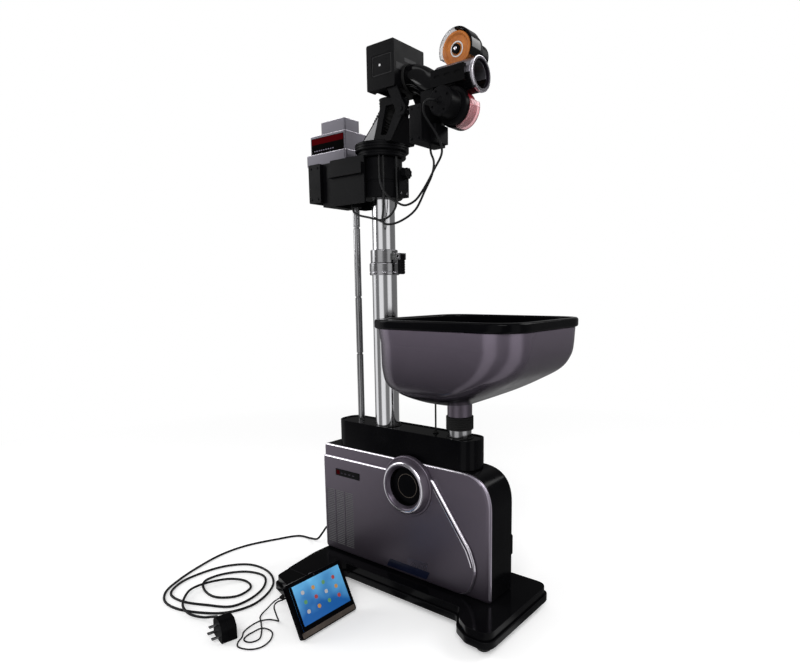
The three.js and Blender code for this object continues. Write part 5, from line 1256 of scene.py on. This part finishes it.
def make_tablet(looks):
    t = TABLET
    lean = math.radians(t.lean)
    stood = Matrix.Translation((t.x, 0, t.thick * math.sin(lean) + t.foot)) @ Matrix.Rotation(-lean, 4, "Y")
    back, middle = -t.thick, (t.near + t.far) / 2
    hinge_x, hinge_z = back - t.hinge - SEAT, t.height * t.hinge_share
    knuckles = []
    for side in (-1, 1):
        y = middle + side * (t.stand_half + t.hinge + SEAT)
        knuckles += [rod("y", t.hinge, y - t.hinge, y + t.hinge, hinge_x, hinge_z, 32),
                     block(hinge_x, back + t.glass, y - t.hinge, y + t.hinge, hinge_z - t.hinge,
                           hinge_z + t.hinge)]
    shell = slab("x", t.near, t.far, 0, t.height, back, 0, t.corner)
    cutout = block(-t.glass, OVER, t.near + t.bezel, t.far - t.bezel, t.strip, t.height - t.bezel)
    port = block(back + 3, back + 6, t.far - OVER, t.far + OVER, 40, 52)
    solid = cut(fused(shell, *knuckles), cutout, port)
    dress("tablet_body", placed(solid, stood), "base", looks.gloss, 1.0, edge=looks.black)

    near, far, foot, top = (t.near + t.bezel + SEAT, t.far - t.bezel - SEAT, t.strip + SEAT,
                            t.height - t.bezel - SEAT)
    glass = block(-t.glass + SEAT, 0, near, far, foot, top)
    dress("tablet_screen", placed(glass, stood), "base", looks.screen, 0.15, 2)
    strip = slab("x", t.near + 2.5, t.far - 2.5, 2, t.strip - 1.6, -0.5, 0.35, 2)
    piece("tablet_strip", placed(strip, stood), "base", looks.bronze, (), 0.25, 2)
    border = together(block(-0.1, 0.1, near, near + ICON.side, foot, top),
                      block(-0.1, 0.1, near + ICON.side, far, foot, foot + ICON.foot))
    piece("tablet_screen_border", placed(border, stood), "base", looks.gloss)
    eye = rod("x", t.lens, -0.5, 0.15, middle, t.height - t.bezel / 2, 24)
    piece("tablet_camera", placed(eye, stood), "base", looks.steel)
    make_icons(looks, stood)

    place = stood @ Vector((hinge_x, 0, hinge_z))
    drop = math.asin((place.z - t.foot - t.stand_thick / 2) / t.stand_length)
    half = t.stand_thick / 2
    leg = cut(slab("z", -t.stand_length, half, middle - t.stand_half, middle + t.stand_half, -half, half,
                   t.hinge),
              slab("z", 12 - t.stand_length, -16, middle - 20, middle + 20, half - 0.7, half + OVER, 4))
    swung = Matrix.Translation((place.x, 0, place.z)) @ Matrix.Rotation(-drop, 4, "Y")
    dress("tablet_stand", placed(leg, swung), "tablet_stand", looks.black, 0.5, 2)


def make_icons(looks, stood):
    c = ICON
    colours = (looks.pale, looks.lamp, looks.leaf, looks.sun)
    groups = [[] for colour in colours]
    half = c.size / 2
    for column in range(c.columns):
        for row in range(c.rows):
            y = c.left + (c.right - c.left) * (column + 0.5) / c.columns
            z = c.bottom + (c.top - c.bottom) * (row + 0.5) / c.rows
            icon = slab("x", y - half, y + half, z - half, z + half, -0.4, 0.12, c.corner, 4)
            groups[(column * 3 + row * 2) % len(groups)].append(icon)
    for i, (group, colour) in enumerate(zip(groups, colours)):
        piece(f"tablet_icons_{i + 1}", placed(together(*group), stood), "base", colour)


# Power cord, its plug, and the tablet's lead
POWER = 2.5
LEAD = 1.4
POWER_ROUTE = [
    (-193.3, 16, 68), (-206, 16, 66.5), (-224, 17, 56), (-243, 18, 34), (-266, 21, 12), (-298, 25, 4),
    (-334, 19, 3), (-366, -33, 2.8), (-395, -102, 2.8), (-400, -165, 2.8), (-386, -231, 2.8),
    (-365, -290, 2.8), (-337, -339, 2.8), (-300, -362, 2.8), (-257, -363, 2.8), (-205, -344, 2.8),
    (-160, -311, 2.8), (-143, -268, 2.8), (-151, -225, 2.8), (-184, -178, 2.8), (-240, -152, 2.8),
    (-300, -157, 2.8), (-338, -195, 2.8), (-352, -250, 2.8), (-348, -300, 2.8), (-320, -338, 2.8),
    (-274, -341, 2.8), (-215, -317, 2.8), (-172, -291, 2.8), (-166, -253, 2.8), (-185, -203, 2.8),
    (-226, -172, 2.8), (-276, -183, 2.8), (-310, -226, 2.8), (-311, -265, 2.8), (-272, -288, 2.8),
    (-228, -288, 2.8), (-198, -258, 2.8), (-206, -221, 2.8), (-240, -211, 3.6), (-269, -232, 7.6),
    (-289, -276, 9.8), (-291, -308, 9.4), (-268, -337, 9.8), (-238, -357, 9.8), (-205, -362, 8),
    (-172, -354, 9), (-148, -346.5, 15), (-135, -346.3, 19.5), (-123.3, -349.2, 20)]
LEAD_ROUTE = [
    (-91.3, -232.4, 22), (-94.8, -244, 18), (-99.5, -257, 8), (-100.5, -268, 2.6), (-94, -279, 1.8),
    (-78, -289, 1.8), (-49, -309, 1.8), (-33, -327, 1.8), (-36, -340, 1.8), (-44, -345, 1.8),
    (-54, -344, 1.8), (-60, -334, 1.8), (-60, -321, 2.6), (-54, -305, 5.2), (-43, -297, 2.6),
    (-30, -299, 1.8), (-14, -316, 1.8), (-9, -338, 1.8), (-17, -353, 1.8), (-33, -362, 1.8), (-46, -363, 1.8),
    (-56, -355, 1.8), (-64, -341, 1.8), (-75, -330, 1.8), (-80, -314, 2.8), (-77, -293, 5.4),
    (-70, -275, 2.8), (-56, -268, 2.2), (-44, -273, 8), (-35, -282, 22), (-27, -292, 41), (-19, -300, 57),
    (-11, -303.5, 68), (-4.5, -301, 74), (-1.2, -294.5, 75), (-1, -285.4, 75)]
PLUG = Sizes(x=-92, y=-357, z=20, width=46, height=40, depth=28, corner=12, pin=3, pin_long=15, pin_gap=22,
             pin_rise=9, turn=-14, boss=4.6, boss_length=9, seam=0.8, grip=1.4, grip_half=10)
GLAND = Sizes(flange=9, root=6.5, tip=3.9, length=32, wall=3, ribs=6, start=7, rib=1.0)
OUTLET = Sizes(radius=5, bore=2, length=8)


def make_relief(looks):
    g = GLAND
    relief = Place("cord_relief")
    profile = [(0, -g.wall - SEAT), (g.root, -g.wall - SEAT), (g.root, SEAT), (g.flange - 0.8, SEAT),
               (g.flange, 1), (g.flange, 3), (g.flange - 1, 4), (g.root, 4)]
    pitch = (g.length - g.start - 2) / g.ribs
    for i in range(g.ribs):
        h = g.start + i * pitch
        wide = g.root + (g.tip - g.root) * h / g.length
        profile += [(wide, h - pitch * 0.3), (wide, h + pitch * 0.25), (wide - g.rib, h + pitch * 0.35),
                    (wide - g.rib, h + pitch * 0.6)]
    profile += [(g.tip, g.length - 1.2), (g.tip - NICK, g.length), (0, g.length)]
    wall_x = relief.x0 + g.length
    return dress("cord_relief", lathe([(r, wall_x - h) for r, h in profile], "x", relief.y, relief.z, 48),
                 "base", looks.rubber)


def make_plug(looks):
    p = PLUG
    wide, high, deep, end = p.width / 2, p.height / 2, p.depth / 2, -p.width / 2
    outline = rounded([(-wide, -high), (wide, -high), (wide, high - p.corner, p.corner),
                       (wide / 2, high, p.corner),
                       (-wide / 2, high, p.corner), (-wide, high - p.corner)], p.corner / 2)
    seam = cut(slab("y", -p.width, p.width, -p.height, p.height, -NICK - p.seam, -NICK, 1),
               prism([(u * 0.97, v * 0.97) for u, v in outline], "y", -OVER, OVER))
    grips = [block(x, x + p.grip, deep - 0.8, deep + OVER, -p.grip_half, p.grip_half)
             for x in range(-13, 14, 4)]
    shell = cut(prism(outline, "y", -deep, deep), seam, *grips)
    boss = lathe([(0, end - p.boss_length), (p.boss, end - p.boss_length, NICK),
                  *groove(p.boss, 0.7, 0.4, end - 5, end - 3), (p.boss, end + 6), (0, end + 6)], "x", 0, 0,
                 48)
    turn = Matrix.Translation((p.x, p.y, p.z)) @ Matrix.Rotation(math.radians(p.turn), 4, "Z")
    plug = dress("power_plug", placed(together(shell, boss), turn), "base", looks.black, 3.2, 4)
    places = ((-p.pin_gap / 2, -p.pin_rise), (p.pin_gap / 2, -p.pin_rise), (0, p.pin_rise))
    pins = [slab("y", x - p.pin, x + p.pin, z - p.pin / 2, z + p.pin / 2, -deep - p.pin_long, OVER - deep,
                 0.6, 3)
            for x, z in places]
    return plug, piece("power_plug_pins", placed(together(*pins), turn), "base", looks.steel, (), 0.4, 2)


def make_grommet(looks):
    o = OUTLET
    start, below = Vector(LEAD_ROUTE[0]), Vector(LEAD_ROUTE[1])
    inward = ((start - below) * Vector((1, 1, 0))).normalized()
    profile = [(o.bore, 0), (o.radius - 2, 0), (o.radius - 1.6, 1), (o.radius - 1.2, 2.6),
               (o.radius - 0.2, 3.2), (o.radius, 4), (o.radius, o.length - 1), (o.radius - NICK, o.length),
               (o.bore, o.length)]
    turn = Vector((0, 0, 1)).rotation_difference(inward).to_matrix().to_4x4()
    solid = placed(lathe(profile, "z", 0, 0, 32), Matrix.Translation(start + inward * SEAT * 2) @ turn)
    dress("lead_grommet", solid, "base", looks.rubber)


def make_cords(looks):
    fittings = [make_relief(looks), *make_plug(looks)]
    cord_piece("power_cord", POWER_ROUTE, POWER, "base", looks, 16)
    cord_piece("tablet_lead", LEAD_ROUTE, LEAD, "base", looks, 14, step=1.5)
    make_head_cables(looks)
    make_grommet(looks)


def dress_inner_nodes(looks):
    """Pieces inside the body keep their solids and get their finish."""
    inner = {"ball_track": looks.smoke, "feed_wheel": looks.ivory, "feed_gear": looks.ivory,
             "feed_pinion": looks.steel,
             "feed_motor": looks.steel, "power_supply": looks.silver, "circuit_board": looks.green}
    for name, look in inner.items():
        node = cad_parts[name]
        if not node.material_slots:
            node.data.materials.append(look)
        for part in node.material_slots:
            part.link = "OBJECT"
            part.material = look


# Floor, world and lamps
WHITE = (1, 1, 1, 1)
FLOOR = Sizes(radius=14, grey=0.9, white_from=0.9, white_at=2.2, lift=0.3)
AMBIENT = 0.42
# Grey of the room by compass direction, for what the metal reflects: (turn share from -X, grey)
ROOM = ((0.0, 0.5), (0.045, 1.0), (0.09, 1.0), (0.12, 0.2), (0.2, 0.22), (0.225, 1.0), (0.31, 1.0),
        (0.345, 0.22), (0.42, 0.22), (0.455, 1.0), (0.525, 1.0), (0.565, 0.18), (0.73, 0.18), (0.8, 0.3),
        (0.83, 0.1), (0.95, 0.1), (0.98, 0.3), (1.0, 0.5))
# Place, aim, width, height and power of each lamp
LAMPS = (((1.6, -2.2, 2.4), (0, 0, 0.5), 1.6, 1.6, 55), ((-2.4, -1.4, 1.7), (0, 0, 0.5), 1.2, 1.8, 26),
         ((1.4, 1.9, 2.2), (0, 0, 0.6), 1.4, 1.4, 26))


def room_greys(tree, direction):
    x, y = (tree.add("SeparateXYZ", {"Vector": direction}, axis) for axis in "XY")
    turn = tree.spread(tree.math("ARCTAN2", y, x), 0.0, 1.0, -math.pi, math.pi)
    greys = tree.ramp(turn, [(place, (grey, grey, grey)) for place, grey in ROOM])
    greys.node.color_ramp.interpolation = "EASE"
    return greys


def make_stage():
    """A pale floor that turns white with distance; what is glossy sees the room in it."""
    f = FLOOR
    disc = bmesh.new()
    bmesh.ops.create_circle(disc, cap_ends=True, radius=f.radius, segments=ROUND)
    plane = plain_object(disc)
    plane.name = plane.data.name = "floor"
    material, tree, shade = shader("floor")
    tree.feed(shade, {"Roughness": 0.6, "Specular IOR Level": 0.1, "Base Color": (f.grey, f.grey, f.grey, 1)})
    reach = tree.add("VectorMath", {0: tree.spot()}, "Value", operation="LENGTH")
    far = tree.spread(reach, 0.0, 1.0, f.white_from, f.white_at)
    lift = tree.math("MULTIPLY", tree.add("LightPath", {}, "Is Camera Ray"), f.lift)
    lit = tree.add("AddShader", {0: shade.outputs["BSDF"], 1: tree.add("Emission", {"Strength": lift})})
    room = tree.add("Emission", {"Color": room_greys(tree, tree.spot())})
    pale = tree.mixed(far, lit, tree.add("Emission", {}))
    seen = tree.mixed(tree.add("LightPath", {}, "Is Glossy Ray"), pale, room)
    tree.feed(tree.nodes["Material Output"], {"Surface": seen})
    plane.data.materials.append(material)


def make_world():
    world = bpy.data.worlds.new("world")
    bpy.context.scene.world = world
    tree = Tree(world)
    ambient = tree.nodes["Background"]
    tree.feed(ambient, {"Color": WHITE, "Strength": AMBIENT})
    room = tree.add("Background", {"Color": room_greys(tree, tree.add("TexCoord", {}, "Generated"))})
    white = tree.add("Background", {"Color": WHITE})
    shown = ambient.outputs["Background"]
    for name, seen in (("Is Glossy Ray", room), ("Is Transmission Ray", white), ("Is Camera Ray", white)):
        shown = tree.mixed(tree.add("LightPath", {}, name), shown, seen)
    tree.feed(tree.nodes["World Output"], {"Surface": shown})


def make_lamps():
    for i, (place, aim, width, height, power) in enumerate(LAMPS):
        data = bpy.data.lights.new(f"lamp_{i + 1}", "AREA")
        data.shape = "RECTANGLE"
        data.size, data.size_y, data.energy = width, height, power
        lamp = bpy.data.objects.new(f"lamp_{i + 1}", data)
        lamp.location = place
        lamp.rotation_mode = "QUATERNION"
        lamp.rotation_quaternion = (Vector(aim) - Vector(place)).to_track_quat("-Z", "Y")
        bpy.context.collection.objects.link(lamp)


def main():
    bpy.context.scene.view_settings.view_transform = "Standard"
    make_camera()
    looks = make_looks()
    for make in (make_cords, make_base, make_body, make_front, make_cap, make_mast, make_hopper,
                 make_mast_head, make_receiver, make_yoke, make_head):
        make(looks)
    make_drive("upper", 1, GUARD.upper, looks.amber, looks.smoke, looks)
    make_drive("lower", -1, GUARD.lower, looks.red, looks.rose, looks)
    make_tablet(looks)
    dress_inner_nodes(looks)
    make_stage()
    make_world()
    make_lamps()


main()
